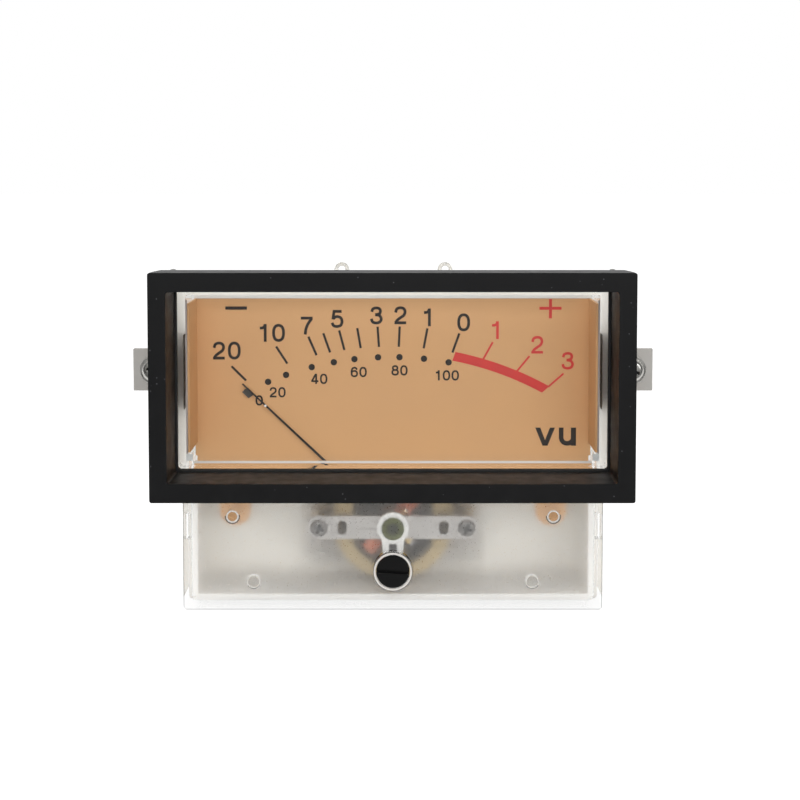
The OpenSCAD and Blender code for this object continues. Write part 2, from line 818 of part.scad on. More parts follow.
// Two blocks, above and below the core, that hold it in the middle of the ring
module core_holder() {
    spread = 20;
    reach = yoke_r_in + 2;
    color([0.7, 0.6, 0.35]) translate([0, 0, z_pivot])
        slab(y_yoke + 0.5, y_yoke_back - 0.5) intersection() {
            difference() {
                circle(yoke_r_in, $fn = fine);
                circle(core_r, $fn = fine);
            }
            for (sz = [-1, 1])
                polygon([[0, 0], [reach * sin(spread), sz * reach * cos(spread)],
                         [0, sz * (reach + 1)], [-reach * sin(spread), sz * reach * cos(spread)]]);
        }
}

module yoke_spacers() {
    color([0.78, 0.66, 0.4]) for (turn = [45:90:315])
        translate([yoke_mid_r * cos(turn), 0, z_pivot + yoke_mid_r * sin(turn)])
            rod(spacer_r, y_yoke_back, y_plate);
}

// Posts that stop the needle at each end of its swing
module pointer_stops() {
    clear = asin((needle_w / 2 + stop_r + stop_gap) / stop_ring_r);
    color([0.7, 0.7, 0.7]) for (a = [-rest_angle - clear, swing - rest_angle + clear])
        translate([stop_ring_r * sin(a), 0, z_pivot + stop_ring_r * cos(a)])
            rod(stop_r, y_needle - 0.4, y_yoke);
}

module rear_plate() {
    color([0.8, 0.78, 0.7]) difference() {
        translate([0, 0, z_pivot]) slab(y_plate, y_plate_back)
            round_rect(2 * plate_half_x, 2 * plate_half_z, 2);
        rod(rear_neck_r, y_plate - past, y_plate_back + past, 0, z_pivot);
        at_plate_screws() rod(m2_r, y_plate - past, y_plate_back + past);
    }
}

module plate_screws() {
    head_t = 1.1;
    tip_gap = 0.6;
    color([0.7, 0.7, 0.7]) at_plate_screws() {
        pan_head(m2_head_r, head_t, y_plate - head_t, 0, 0);
        rod(m2_r, y_plate, y_rear_in - tip_gap);
    }
}

// ---- Electrical pieces --------------------------------------------------------------------

module rectifier_board() {
    board_w = terminal_pitch + 8;
    board_h = 12;
    color([0.2, 0.42, 0.22]) difference() {
        translate([0, 0, terminal_z]) slab(y_board, y_rear_in) round_rect(board_w, board_h, 0.5);
        for (sx = [-1, 1]) rod(m3_hole_r, y_board - past, y_rear_in + past, sx * terminal_x, terminal_z);
    }
}

// A body with two bent wires standing on the board; long is its direction, 0 along X, 90 along Z
module axial_part(body_r, body_len, foot, x, z, long) {
    wire_r = 0.25;
    lift = 1.3;
    translate([x, y_board - lift, z]) rotate([0, long, 0]) {
        rotate([0, 90, 0]) cylinder(r = body_r, h = body_len, center = true, $fn = small);
        rotate([0, 90, 0]) cylinder(r = wire_r, h = 2 * foot, center = true, $fn = small);
        for (s = [-1, 1]) rod(wire_r, 0, lift, s * (foot - wire_r), 0);
    }
}

module rectifier_diodes() {
    pitch = 3.2;
    color([0.75, 0.3, 0.15]) for (i = [-1.5:1.5])
        axial_part(0.9, 3.5, 3.4, i * pitch, terminal_z + 1.2, 90);
}

module series_resistor() {
    color([0.35, 0.55, 0.7]) axial_part(1.1, 6.3, 4.4, 0, terminal_z - 4.6, 0);
}

module lamp_board() {
    color([0.85, 0.85, 0.8]) difference() {
        translate([0, 0, lamp_z]) slab(y_lamp_board, y_lamp_board + board_t)
            round_rect(lamp_board_w, lamp_board_h, 0.5);
        for (sx = [-1, 1])
            rod(lamp_pin_core_r, y_lamp_board - past, y_lamp_board + board_t + past,
                sx * lamp_pin_pitch / 2, lamp_z);
    }
}

module dial_lamps() {
    flange_t = 1;
    color([0.98, 0.92, 0.75]) for (i = [-1:1]) translate([i * lamp_pitch, 0, lamp_z]) {
        rod(lamp_r + 0.4, y_lamp_board - flange_t, y_lamp_board);
        rod(lamp_r, y_lamp_board - lamp_len, y_lamp_board - flange_t);
        translate([0, y_lamp_board - lamp_len, 0]) sphere(lamp_r, $fn = small);
    }
}

// Thin where they pass through the board and the wall, full size where a socket goes on
module lamp_pins() {
    color([0.8, 0.75, 0.6]) for (sx = [-1, 1]) translate([sx * lamp_pin_pitch / 2, 0, lamp_z]) {
        rod(lamp_pin_core_r, y_lamp_board - board_t / 2, y_back);
        rod(lamp_pin_r, y_back, y_back + lamp_pin_len);
    }
}

module terminal_studs() {
    color([0.8, 0.68, 0.4]) for (sx = [-1, 1]) translate([sx * terminal_x, 0, terminal_z]) {
        rod(stud_head_r, y_board - stud_head_t, y_board);
        rod(thread_core_r, y_board, y_thread);
        rod(thread_r, y_thread, y_thread + thread_end);
    }
}

module terminal_washers() {
    color([0.8, 0.8, 0.8]) for (sx = [-1, 1])
        ring(3.2, m3_hole_r, y_washer, y_lug, sx * terminal_x, terminal_z);
}

// A round eye on the stud and a tab that rises above the case, with a hole for a wire
module solder_lugs() {
    tab_w = 3.4;
    eye_r = 3.2;
    wire_z = z_top + 1.2;
    color([0.85, 0.84, 0.8]) for (sx = [-1, 1]) translate([sx * terminal_x, 0, 0])
        slab(y_lug, y_nut) difference() {
            union() {
                translate([0, terminal_z]) circle(eye_r, $fn = fine);
                translate([-tab_w / 2, terminal_z]) square([tab_w, wire_z - terminal_z]);
                translate([0, wire_z]) circle(tab_w / 2, $fn = fine);
            }
            translate([0, terminal_z]) circle(m3_hole_r, $fn = fine);
            translate([0, wire_z]) circle(0.85, $fn = small);
        }
}

module terminal_nuts() {
    color([0.82, 0.7, 0.42]) for (sx = [-1, 1])
        nut(3.17, thread_core_r, y_nut, y_thread, sx * terminal_x, terminal_z);
}

// A round lead swept along its points: the route is smoothed by a curve through them
function curve_point(p0, p1, p2, p3, t) =
    0.5 * (2 * p1 + (p2 - p0) * t + (2 * p0 - 5 * p1 + 4 * p2 - p3) * t * t
           + (3 * p1 - p0 - 3 * p2 + p3) * t * t * t);

function smooth_route(route, parts) = let (last = len(route) - 1) concat(
    [for (i = [0:last - 1], k = [0:parts - 1])
        curve_point(route[max(i - 1, 0)], route[i], route[i + 1], route[min(i + 2, last)], k / parts)],
    [route[last]]);

function unit(v) = v / norm(v);

// Each ring of points is square to the route and keeps one side towards +X
function lead_ring(centre, along, r, sides) =
    let (side = unit([1, 0, 0] - along[0] * along), up = cross(along, side))
    [for (k = [0:sides - 1]) centre + r * (cos(360 * k / sides) * side + sin(360 * k / sides) * up)];

module lead(route) {
    sides = 8;
    path = smooth_route(route, 2);
    last = len(path) - 1;
    rings = [for (i = [0:last])
        lead_ring(path[i], unit(path[min(i + 1, last)] - path[max(i - 1, 0)]), lead_r, sides)];
    points = [for (one = rings, p = one) p];
    walls = [for (i = [0:last - 1], k = [0:sides - 1], half = [0, 1])
        let (a = i * sides + k, b = i * sides + (k + 1) % sides)
        half == 0 ? [a, a + sides, b] : [b, a + sides, b + sides]];
    start_cap = [for (k = [1:sides - 2]) [0, k, k + 1]];
    first = last * sides;
    end_cap = [for (k = [1:sides - 2]) [first, first + k + 1, first + k]];
    polyhedron(points, concat(walls, start_cap, end_cap));
}

module positive_lead() {
    color([0.75, 0.1, 0.08]) lead(positive_route);
}

module negative_lead() {
    color([0.08, 0.08, 0.08]) lead(negative_route);
}

// ---- Side brackets ------------------------------------------------------------------------

// A leg flat on the case's side and an ear turned outwards at its front edge
module side_bracket(sx) {
    color([0.68, 0.66, 0.63]) difference() {
        union() {
            translate([sx * (half_w + bracket_t / 2), 0, 0])
                block([-bracket_t / 2, ear_y, -leg_h / 2], [bracket_t / 2, ear_y + leg_d, leg_h / 2]);
            translate([sx * (half_w + ear_tip) / 2, 0, 0])
                block([-(ear_tip - half_w) / 2, ear_y, -ear_h / 2],
                      [(ear_tip - half_w) / 2, ear_y + bracket_t, ear_h / 2]);
        }
        rod(screw_hole_r, ear_y - past, ear_y + bracket_t + past, sx * screw_x, 0);
        at_fixings(sx) cylinder(r = fixing_r + 0.1, h = 6, center = true, $fn = small);
    }
}

module left_bracket() { side_bracket(-1); }

module right_bracket() { side_bracket(1); }

module bracket_screws() {
    y_head = ear_y - ear_washer_t - screw_head_t;
    y_nut_back = ear_y + bracket_t + ear_nut_t;
    color([0.75, 0.75, 0.75]) for (sx = [-1, 1]) {
        pan_head(screw_head_r, screw_head_t, y_head, sx * screw_x, 0);
        rod(screw_core_r, y_head + screw_head_t, y_nut_back, sx * screw_x, 0);
        rod(screw_r, y_nut_back, y_nut_back + ear_thread_end, sx * screw_x, 0);
    }
}

module bracket_washers() {
    color([0.8, 0.8, 0.8]) for (sx = [-1, 1])
        ring(ear_washer_r, screw_hole_r, ear_y - ear_washer_t, ear_y, sx * screw_x, 0);
}

module bracket_nuts() {
    color([0.78, 0.78, 0.78]) for (sx = [-1, 1])
        nut(ear_nut_r, screw_core_r, ear_y + bracket_t, ear_y + bracket_t + ear_nut_t, sx * screw_x, 0);
}

module bracket_fixing_screws() {
    head_r = 1.7;
    head_t = 1;
    grip = bracket_t + housing_t + 1.4;
    color([0.75, 0.75, 0.75]) for (sx = [-1, 1]) at_fixings(sx) {
        translate([0, 0, sx * (bracket_t + head_t / 2)]) difference() {
            cylinder(r = head_r, h = head_t, center = true, $fn = small);
            for (turn = [0, 90]) rotate(turn) translate([0, 0, sx * head_t / 2])
                cube([2, 0.4, head_t], center = true);
        }
        translate([0, 0, sx * (bracket_t - grip / 2)])
            cylinder(r = fixing_r, h = grip, center = true, $fn = small);
    }
}

// ---- Assembly --------------------------------------------------------------------------------

bezel_frame();
bezel_studs();
window_gasket();
front_cover();
rear_housing();
dial_plate();
front_bridge();
bridge_pillars();
bridge_screws();
front_jewel_screw();
rear_jewel_screw();
pivot_jewels();
zero_lever();
zero_screw();
front_hairspring();
rear_hairspring();
hairspring_collets();
rear_spring_lug();
pointer_needle();
pointer_hub();
balance_weights();
front_pivot();
rear_pivot();
coil_bobbin();
moving_coil();
core_magnet();
core_holder();
yoke_ring();
yoke_spacers();
pointer_stops();
rear_plate();
plate_screws();
rectifier_board();
rectifier_diodes();
series_resistor();
lamp_board();
dial_lamps();
lamp_pins();
positive_lead();
negative_lead();
terminal_studs();
terminal_washers();
solder_lugs();
terminal_nuts();
left_bracket();
right_bracket();
bracket_screws();
bracket_washers();
bracket_nuts();
bracket_fixing_screws();
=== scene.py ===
"""Looks of an analog VU meter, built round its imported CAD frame.

X to the right, Y to the back, Z up. The origin is the centre of the bezel's rear face, and the
dial faces towards -Y. The camera, the lamps and the floor are placed in metres. Other lengths
are in millimetres, which MM turns into metres.
"""

import bmesh
import bpy
import numpy as np
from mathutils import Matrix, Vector


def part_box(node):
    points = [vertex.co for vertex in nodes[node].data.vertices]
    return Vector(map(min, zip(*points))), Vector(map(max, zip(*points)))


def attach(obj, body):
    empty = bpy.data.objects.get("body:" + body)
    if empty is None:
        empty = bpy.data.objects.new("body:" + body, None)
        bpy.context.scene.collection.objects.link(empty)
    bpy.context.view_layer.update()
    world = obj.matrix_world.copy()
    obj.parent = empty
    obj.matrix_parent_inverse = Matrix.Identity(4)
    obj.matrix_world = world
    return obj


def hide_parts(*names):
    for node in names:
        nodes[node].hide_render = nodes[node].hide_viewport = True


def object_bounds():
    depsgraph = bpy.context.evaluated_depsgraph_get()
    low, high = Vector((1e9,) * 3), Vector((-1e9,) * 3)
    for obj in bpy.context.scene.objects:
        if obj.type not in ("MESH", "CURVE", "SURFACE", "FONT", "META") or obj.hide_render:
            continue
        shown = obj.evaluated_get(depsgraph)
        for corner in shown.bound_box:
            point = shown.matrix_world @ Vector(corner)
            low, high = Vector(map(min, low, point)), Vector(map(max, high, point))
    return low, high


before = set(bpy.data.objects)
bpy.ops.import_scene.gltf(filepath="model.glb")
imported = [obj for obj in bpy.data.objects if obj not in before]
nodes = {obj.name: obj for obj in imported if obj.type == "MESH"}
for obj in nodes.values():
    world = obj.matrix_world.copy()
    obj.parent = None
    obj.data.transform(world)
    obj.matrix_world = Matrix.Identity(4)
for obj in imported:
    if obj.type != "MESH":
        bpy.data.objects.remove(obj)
cad_low, cad_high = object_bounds()

MM = 0.001


def box_mm(node):
    """The lowest and the highest corner of a CAD node, in millimetres."""
    return [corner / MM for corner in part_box(node)]


def middle_mm(node):
    """The middle of a CAD node, in millimetres."""
    low, high = box_mm(node)
    return (low + high) / 2


# Places that the frame gives. The dial's plate is the rearmost part of its node.
PIVOT = middle_mm("front_pivot")
ADJUSTER = middle_mm("zero_screw")
DIAL_T = 0.8
DIAL_Y = box_mm("dial_plate")[1].y - DIAL_T

# Places of features that are only a part of a node. Those beside the middle are on both sides.
REST_ANGLE = 46.56  # the needle at rest, in degrees left of upright
NEEDLE_END = 45.0  # the needle's tip, from the pivot
BRIDGE_SCREW_X, BRIDGE_SLOT_X = 16.0, 11.0
EAR_SCREW_X = 52.0
TERMINAL_X, TERMINAL_Z = 12.0, 9.0
STUD_X, STUD_Z = 47.15, 21.3
PIN_X, PIN_Z = 34.5, -30.9  # the clear pins that clamp the dial
MARK_X, MARK_Z = 30.0, -45.1  # the ejector marks
INSIDE_X, INSIDE_FOOT = 43.2, -49.2  # the inside of the clear case
FROST_Y = 5.7  # the inner face of its lower front
# The radii of the clear spots round the adjuster's boss, a clamp pin and the jewel screw.
BOSS_CLEAR, PIN_CLEAR, JEWEL_CLEAR = 4.3, 1.45, 2.5


# ------------------------------------------------------------------ shader building blocks


def add(tree, kind, inputs=None, **fields):
    """One shader node. inputs sets or links its sockets, and fields its own choices."""
    made = tree.nodes.new("ShaderNode" + kind)
    for field, value in fields.items():
        setattr(made, field, value)
    for socket, value in (inputs or {}).items():
        if isinstance(value, bpy.types.NodeSocket):
            tree.links.new(value, made.inputs[socket])
        else:
            made.inputs[socket].default_value = value
    return made


def times(tree, a, b):
    """a times b, which is 1 where both masks are."""
    return add(tree, "Math", {0: a, 1: b}, operation="MULTIPLY").outputs[0]


def either(tree, a, b):
    """The larger of a and b, which is 1 where one of the masks is."""
    return add(tree, "Math", {0: a, 1: b}, operation="MAXIMUM").outputs[0]


def less(tree, a, b):
    """1 where a is less than b."""
    return add(tree, "Math", {0: a, 1: b}, operation="LESS_THAN").outputs[0]


def without(tree, mask):
    """1 less the mask."""
    return add(tree, "Math", {0: 1.0, 1: mask}, operation="SUBTRACT").outputs[0]


def either_side(tree, value):
    """The value without its sign, so that left and right are the same."""
    return add(tree, "Math", {0: value}, operation="ABSOLUTE").outputs[0]


def within(tree, value, low, high):
    """1 where the value lies between low and high, in millimetres."""
    middle, reach = (low + high) / 2 * MM, (high - low) / 2 * MM
    return add(tree, "Math", {0: value, 1: middle, 2: reach}, operation="COMPARE").outputs[0]


def near(tree, place, centre, radius):
    """1 where a place lies less than radius from the centre, in millimetres."""
    middle = tuple(value * MM for value in centre)
    away = add(tree, "VectorMath", {0: place, 1: middle}, operation="DISTANCE")
    return less(tree, away.outputs["Value"], radius * MM)


def ramp(tree, value, low, high, start=0.0, end=1.0, **fields):
    """start where the value is low or less, end where it is high or more, and even between."""
    made = add(tree, "MapRange", {0: value, 1: low, 2: high, 3: start, 4: end}, **fields)
    return made.outputs[0]


def mixed(tree, mask, low, high):
    """One colour where the mask is 0, and the other where it is 1."""
    return add(tree, "Mix", {0: mask, 6: low, 7: high}, data_type="RGBA").outputs[2]


def object_place(tree):
    """The place on the object, which moves with a piece."""
    return add(tree, "TexCoord").outputs["Object"]


def axes(tree, place):
    """The X, Y and Z of a place."""
    return add(tree, "SeparateXYZ", {0: place}).outputs[:]


def clouds(tree, place, scale, detail):
    """Soft clouds between 0 and 1, scale of them to the metre."""
    return add(tree, "TexNoise", {"Vector": place, "Scale": scale, "Detail": detail}).outputs["Fac"]


def ray_kinds(tree):
    """Two values: 1 for camera rays, and 1 for those that a gloss or a clear piece sends on."""
    path = add(tree, "LightPath").outputs
    sent_on = either(tree, path["Is Glossy Ray"], path["Is Transmission Ray"])
    return path["Is Camera Ray"], sent_on


def let_through(tree):
    """1 for the rays of shadows and soft light, which clear plastic lets through."""
    path = add(tree, "LightPath").outputs
    return either(tree, path["Is Shadow Ray"], path["Is Diffuse Ray"])


# ------------------------------------------------------------------ camera, light and floor

EYE = (0.00153, -0.28069, 0.04451)
LOOK_DOWN = 3.009  # degrees
SOFT_LIGHT = 0.72  # the world's strength where it lights the object
ROOM_FRONT, ROOM_BACK = 0.05, 1.0  # its strength as gloss sees it, before and behind the object
ROOM_RISE = (-0.35, 0.75)  # between which Y of a ray's direction it rises
FLOOR_HALF = 4.0
FLOOR_GLOW = 0.88  # how bright the floor shines for the camera
FLOOR_BEHIND = 0.88  # how much of that gloss sees behind the object
FLOOR_RISE = (-0.09, -0.03)  # between which Y it rises to that
# The floor's grey: under its glow, as gloss sees it before the object, and for soft light.
FLOOR_PALE, FLOOR_DARK, FLOOR_MATT = 0.30, 0.03, 0.80


def place_camera():
    """The photograph's view: level frame edges, the eye a little above the dial's middle."""
    data = bpy.data.cameras.new("camera")
    data.sensor_width = 36.0
    data.lens = 60.59
    data.shift_y = -0.205
    data.clip_start, data.clip_end = 0.01, 20.0
    camera = bpy.data.objects.new("camera", data)
    camera.location = EYE
    camera.rotation_euler = (np.radians(90.0 - LOOK_DOWN), 0.0, 0.0)
    bpy.context.scene.collection.objects.link(camera)
    bpy.context.scene.camera = camera


def place_lamp(name, place, target, width, height, power):
    """A soft rectangular lamp at place that faces target."""
    data = bpy.data.lights.new(name, "AREA")
    data.shape = "RECTANGLE"
    data.size, data.size_y = width, height
    data.energy = power
    lamp = bpy.data.objects.new(name, data)
    lamp.location = place
    aim = Vector(target) - Vector(place)
    lamp.rotation_euler = aim.to_track_quat("-Z", "Y").to_euler()
    bpy.context.scene.collection.objects.link(lamp)


def make_world():
    """White for the camera, and a softer even level for the light that it gives.

    Gloss and clear plastic see white behind and above the object, and a dim room before it."""
    world = bpy.data.worlds.new("studio")
    bpy.context.scene.world = world
    world.use_nodes = True
    tree = world.node_tree
    tree.nodes.clear()
    camera, sent_on = ray_kinds(tree)
    way = add(tree, "TexCoord").outputs["Generated"]
    back = axes(tree, way)[1]
    room = ramp(
        tree, back, *ROOM_RISE, ROOM_FRONT, ROOM_BACK, interpolation_type="SMOOTHSTEP"
    )
    soft = add(tree, "Mix", {0: sent_on, 2: SOFT_LIGHT, 3: room}, data_type="FLOAT").outputs[0]
    level = add(tree, "Mix", {0: camera, 2: soft, 3: 1.0}, data_type="FLOAT").outputs[0]
    sky = add(tree, "Background", {"Color": (1.0, 1.0, 1.0, 1.0), "Strength": level})
    add(tree, "OutputWorld", {"Surface": sky.outputs[0]})


def make_floor():
    """A wide pale plane under the object, white as the background where no shadow falls.

    Gloss and clear plastic see it dark in front of the object, as a dim room would be."""
    half, z = FLOOR_HALF, cad_low.z
    mesh = bpy.data.meshes.new("floor")
    corners = [(-half, -half, z), (half, -half, z), (half, half, z), (-half, half, z)]
    mesh.from_pydata(corners, [], [(0, 1, 2, 3)])
    floor = bpy.data.objects.new("floor", mesh)
    bpy.context.scene.collection.objects.link(floor)
    paint = bpy.data.materials.new("pale_floor")
    paint.use_nodes = True
    tree = paint.node_tree
    tree.nodes.clear()

    def grey(level):
        return add(tree, "BsdfDiffuse", {"Color": (level, level, level, 1.0)}).outputs[0]

    def mix(mask, low, high):
        return add(tree, "MixShader", {0: mask, 1: low, 2: high}).outputs[0]

    camera, sent_on = ray_kinds(tree)
    behind = ramp(tree, axes(tree, object_place(tree))[1], *FLOOR_RISE, 0.0, FLOOR_BEHIND)
    glow = add(tree, "Emission", {"Strength": FLOOR_GLOW}).outputs[0]
    shining = add(tree, "AddShader", {0: grey(FLOOR_PALE), 1: glow}).outputs[0]
    room = mix(behind, grey(FLOOR_DARK), shining)
    soft = mix(sent_on, grey(FLOOR_MATT), room)
    add(tree, "OutputMaterial", {"Surface": mix(camera, soft, shining)})
    mesh.materials.append(paint)


place_camera()
make_world()
make_floor()
# Each lamp's place, what it faces, its width and height, and its power in watts.
place_lamp("key_lamp", (-0.12, -0.42, 0.50), (0, 0, -0.01), 0.7, 0.45, 1.2)
place_lamp("front_lamp", (0.12, -0.80, 0.17), (0, 0, -0.02), 0.9, 0.16, 2.9)
place_lamp("top_lamp", (0.0, 0.02, 0.60), (0, 0.01, 0), 0.6, 0.4, 1.3)
bpy.context.scene.view_settings.view_transform = "Standard"


# ------------------------------------------------------------------ effects that finishes share


def effect(name, inputs, outputs):
    """A new node group: inputs are (name, socket kind, value), outputs are (name, socket kind)."""
    group = bpy.data.node_groups.new(name, "ShaderNodeTree")
    for label, kind, value in inputs:
        socket = group.interface.new_socket(
            label, in_out="INPUT", socket_type="NodeSocket" + kind
        )
        socket.default_value = value
    for label, kind in outputs:
        group.interface.new_socket(label, in_out="OUTPUT", socket_type="NodeSocket" + kind)
    return (
        group,
        group.nodes.new("NodeGroupInput").outputs,
        group.nodes.new("NodeGroupOutput").inputs,
    )


def make_tone_drift():
    """Colour times 1 plus or minus Amount, by soft clouds, Scale of them to the metre."""
    group, given, result = effect(
        "tone_drift",
        [
            ("Colour", "Color", (1, 1, 1, 1)),
            ("Scale", "Float", 200.0),
            ("Amount", "Float", 0.05),
        ],
        [("Colour", "Color")],
    )
    cloud = clouds(group, object_place(group), given["Scale"], 3.0)
    low = without(group, given["Amount"])
    high = add(group, "Math", {0: 1.0, 1: given["Amount"]}, operation="ADD").outputs[0]
    level = ramp(group, cloud, 0.25, 0.75, low, high)
    tinted = add(group, "VectorMath", {0: given["Colour"], 1: level}, operation="MULTIPLY")
    group.links.new(tinted.outputs[0], result["Colour"])
    return group


def make_rub_drift():
    """Roughness between Low and High, by soft clouds, as handling leaves it."""
    group, given, result = effect(
        "rub_drift",
        [
            ("Low", "Float", 0.3),
            ("High", "Float", 0.4),
            ("Scale", "Float", 400.0),
        ],
        [("Roughness", "Float")],
    )
    cloud = clouds(group, object_place(group), given["Scale"], 4.0)
    level = ramp(group, cloud, 0.3, 0.7, given["Low"], given["High"])
    group.links.new(level, result["Roughness"])
    return group


def make_grain():
    """A fine even surface grain as a height, Scale grains to the metre along each axis where
    Stretch is 1."""
    group, given, result = effect(
        "fine_grain",
        [("Scale", "Float", 3000.0), ("Stretch", "Vector", (1.0, 1.0, 1.0))],
        [("Height", "Float")],
    )
    place = object_place(group)
    drawn = add(group, "VectorMath", {0: place, 1: given["Stretch"]}, operation="MULTIPLY")
    grain = clouds(group, drawn.outputs[0], given["Scale"], 2.0)
    group.links.new(grain, result["Height"])
    return group


def make_specks():
    """A mask of small round specks: the spots of that Size in a Share of the cells, of which
    there are Scale to the metre."""
    group, given, result = effect(
        "specks",
        [
            ("Scale", "Float", 900.0),
            ("Size", "Float", 0.12),
            ("Share", "Float", 0.2),
        ],
        [("Mask", "Float")],
    )
    place = object_place(group)
    cells = add(group, "TexVoronoi", {"Vector": place, "Scale": given["Scale"]}).outputs
    spot = less(group, cells["Distance"], given["Size"])
    picked = less(group, cells["Color"], given["Share"])
    group.links.new(times(group, spot, picked), result["Mask"])
    return group


TONE, RUB, GRAIN, SPECKS = (
    make_tone_drift(),
    make_rub_drift(),
    make_grain(),
    make_specks(),
)


def place_effect(tree, group, **inputs):
    """One copy of a shared effect in a material, with its own values."""
    made = tree.nodes.new("ShaderNodeGroup")
    made.node_tree = group
    for name, value in inputs.items():
        if isinstance(value, bpy.types.NodeSocket):
            tree.links.new(value, made.inputs[name])
        else:
            made.inputs[name].default_value = value
    return made.outputs[0]


# ------------------------------------------------------------------ finishes


def new_material(name):
    """A material, with its node tree and its shader."""
    made = bpy.data.materials.new(name)
    made.use_nodes = True
    return made, made.node_tree, made.node_tree.nodes["Principled BSDF"]


def set_bumps(tree, shader, height, depth):
    """Turns a height between 0 and 1 into bumps of that depth, in millimetres."""
    bump = add(tree, "Bump", {"Height": height, "Distance": depth * MM})
    tree.links.new(bump.outputs[0], shader.inputs["Normal"])


def finish(
    name,
    colour,
    rough=(0.35, 0.45),
    metal=0.0,
    tone=(300.0, 0.05),
    grain=(3000.0, 0.004),
    stretch=(1.0, 1.0, 1.0),
    speck=None,
    **plain,
):
    """A material with drifting tone and gloss and a fine grain.

    tone is (scale, amount) and grain (scale, depth). speck is (colour, scale, size, share), and
    plain sets the shader's own sockets."""
    made, tree, shader = new_material(name)
    shader.inputs["Metallic"].default_value = metal
    for socket, value in plain.items():
        shader.inputs[socket.replace("_", " ")].default_value = value
    shade = place_effect(tree, TONE, Colour=(*colour, 1.0), Scale=tone[0], Amount=tone[1])
    if speck:
        speck_colour, scale, size, share = speck
        mask = place_effect(tree, SPECKS, Scale=scale, Size=size, Share=share)
        shade = mixed(tree, mask, shade, (*speck_colour, 1.0))
    tree.links.new(shade, shader.inputs["Base Color"])
    gloss = place_effect(tree, RUB, Low=rough[0], High=rough[1], Scale=tone[0] * 2.0)
    tree.links.new(gloss, shader.inputs["Roughness"])
    height = place_effect(tree, GRAIN, Scale=grain[0], Stretch=stretch)
    set_bumps(tree, shader, height, depth=grain[1])
    return made


# Stretches of the clear cover, each as ranges of sides, depths and heights. The sides run from
# the middle to the left and the right, and a range from -1 takes in the middle.
LOWER_FRONT_INSIDE = ((-1.0, INSIDE_X), (FROST_Y - 0.1, FROST_Y + 0.1), (INSIDE_FOOT, -19.3))
LOWER_FRONT_OUTSIDE = ((-1.0, 46.0), (4.0, 4.4), (-52.0, -19.3))
WINDOW_FOOT_WALL = ((-1.0, 41.9), (-0.1, 5.8), (-19.0, -17.3))
LOWER_CORNERS = ((42.4, 46.0), (4.4, 16.5), (-52.0, -48.2))
CORNER_POSTS = ((41.8, 43.3), (0.0, 11.3), (-17.6, -15.9))
# The polished edge round the lower front's outside, tinted grey as painted shade.
EDGE_SIDES, EDGE_HEIGHTS = (44.83, 46.0), (-52.0, -50.73)
CLEAR_TINT, EDGE_PAINTED_SHADE = (0.985, 0.99, 0.985, 1.0), (0.22, 0.22, 0.23, 1.0)
POLISH = 0.012  # the roughness of clear plastic
UNBENT_SHARE = 0.98  # how much of the view passes unbent where it is looked through
ETCH_SCALE = 3600.0
# The plated face of a bracket. Above and below it, painted shade darkens the top and bottom edges.
PLATED_FOOT, PLATED_TOP = -8.1, 7.9
# The painted shade on the yoke's front: the coil's shade, as a disc round the pivot cut off at
# both sides, and the arm's painted shadow where the camera looks through the bridge's slots,
# above and below the pivot's height.
SHADE_RADIUS, SHADE_SIDE = 10.4, 8.8
SLOT_SIDE, SLOT_FOOT, SLOT_TOP = 1.2, -3.3, 1.5


def make_clear_cover():
    """Clear moulding plastic, frosted on the inner face of its lower front.

    The frost lies where the face is below the window, within the side strips, and off the
    adjuster's boss. Light passes it for shadows and soft light, so the dial is lit. The wall
    under the window, the corner posts and the lower case's round corners are looked through
    without bending, and the lower case's outer front edge is tinted grey as painted shade."""
    made, tree, shader = new_material("clear_cover")
    shader.inputs["Transmission Weight"].default_value = 1.0
    shader.inputs["IOR"].default_value = 1.50
    place = object_place(tree)
    across, depth, height = axes(tree, place)
    side = either_side(tree, across)

    def stretch(sides, depths, heights):
        """1 in a stretch of the cover."""
        flat = times(tree, within(tree, side, *sides), within(tree, depth, *depths))
        return times(tree, flat, within(tree, height, *heights))

    boss = near(tree, place, (ADJUSTER.x, FROST_Y, ADJUSTER.z), BOSS_CLEAR)
    frost = times(tree, stretch(*LOWER_FRONT_INSIDE), without(tree, boss))
    etched = place_effect(tree, RUB, Low=0.26, High=0.48, Scale=ETCH_SCALE)
    gloss = ramp(tree, frost, 0.0, 1.0, POLISH, etched)
    tree.links.new(gloss, shader.inputs["Roughness"])
    grain = place_effect(tree, GRAIN, Scale=5200.0)
    set_bumps(tree, shader, times(tree, grain, frost), depth=0.02)
    unbent = let_through(tree)
    for ranges in (WINDOW_FOOT_WALL, LOWER_CORNERS, CORNER_POSTS):
        unbent = either(tree, unbent, stretch(*ranges))
    alpha = without(tree, times(tree, unbent, UNBENT_SHARE))
    tree.links.new(alpha, shader.inputs["Alpha"])
    border = either(tree, within(tree, side, *EDGE_SIDES), within(tree, height, *EDGE_HEIGHTS))
    edge = times(tree, stretch(*LOWER_FRONT_OUTSIDE), border)
    tree.links.new(mixed(tree, edge, CLEAR_TINT, EDGE_PAINTED_SHADE), shader.inputs["Base Color"])
    return made


def make_coil_wire():
    """Varnished copper turns, side by side across the coil, which stands at its rest angle."""
    made = finish("copper_winding", (0.50, 0.16, 0.085), (0.26, 0.4), 0.9)
    tree = made.node_tree
    turned = add(
        tree,
        "VectorRotate",
        {
            "Vector": object_place(tree),
            "Center": (0, 0, PIVOT.z * MM),
            "Angle": np.radians(REST_ANGLE),
        },
        rotation_type="Y_AXIS",
    )
    turns = add(
        tree,
        "TexWave",
        {"Vector": turned.outputs[0], "Scale": 900.0, "Distortion": 0.2},
        bands_direction="X",
    )
    set_bumps(tree, tree.nodes["Principled BSDF"], turns.outputs["Fac"], depth=0.05)
    return made


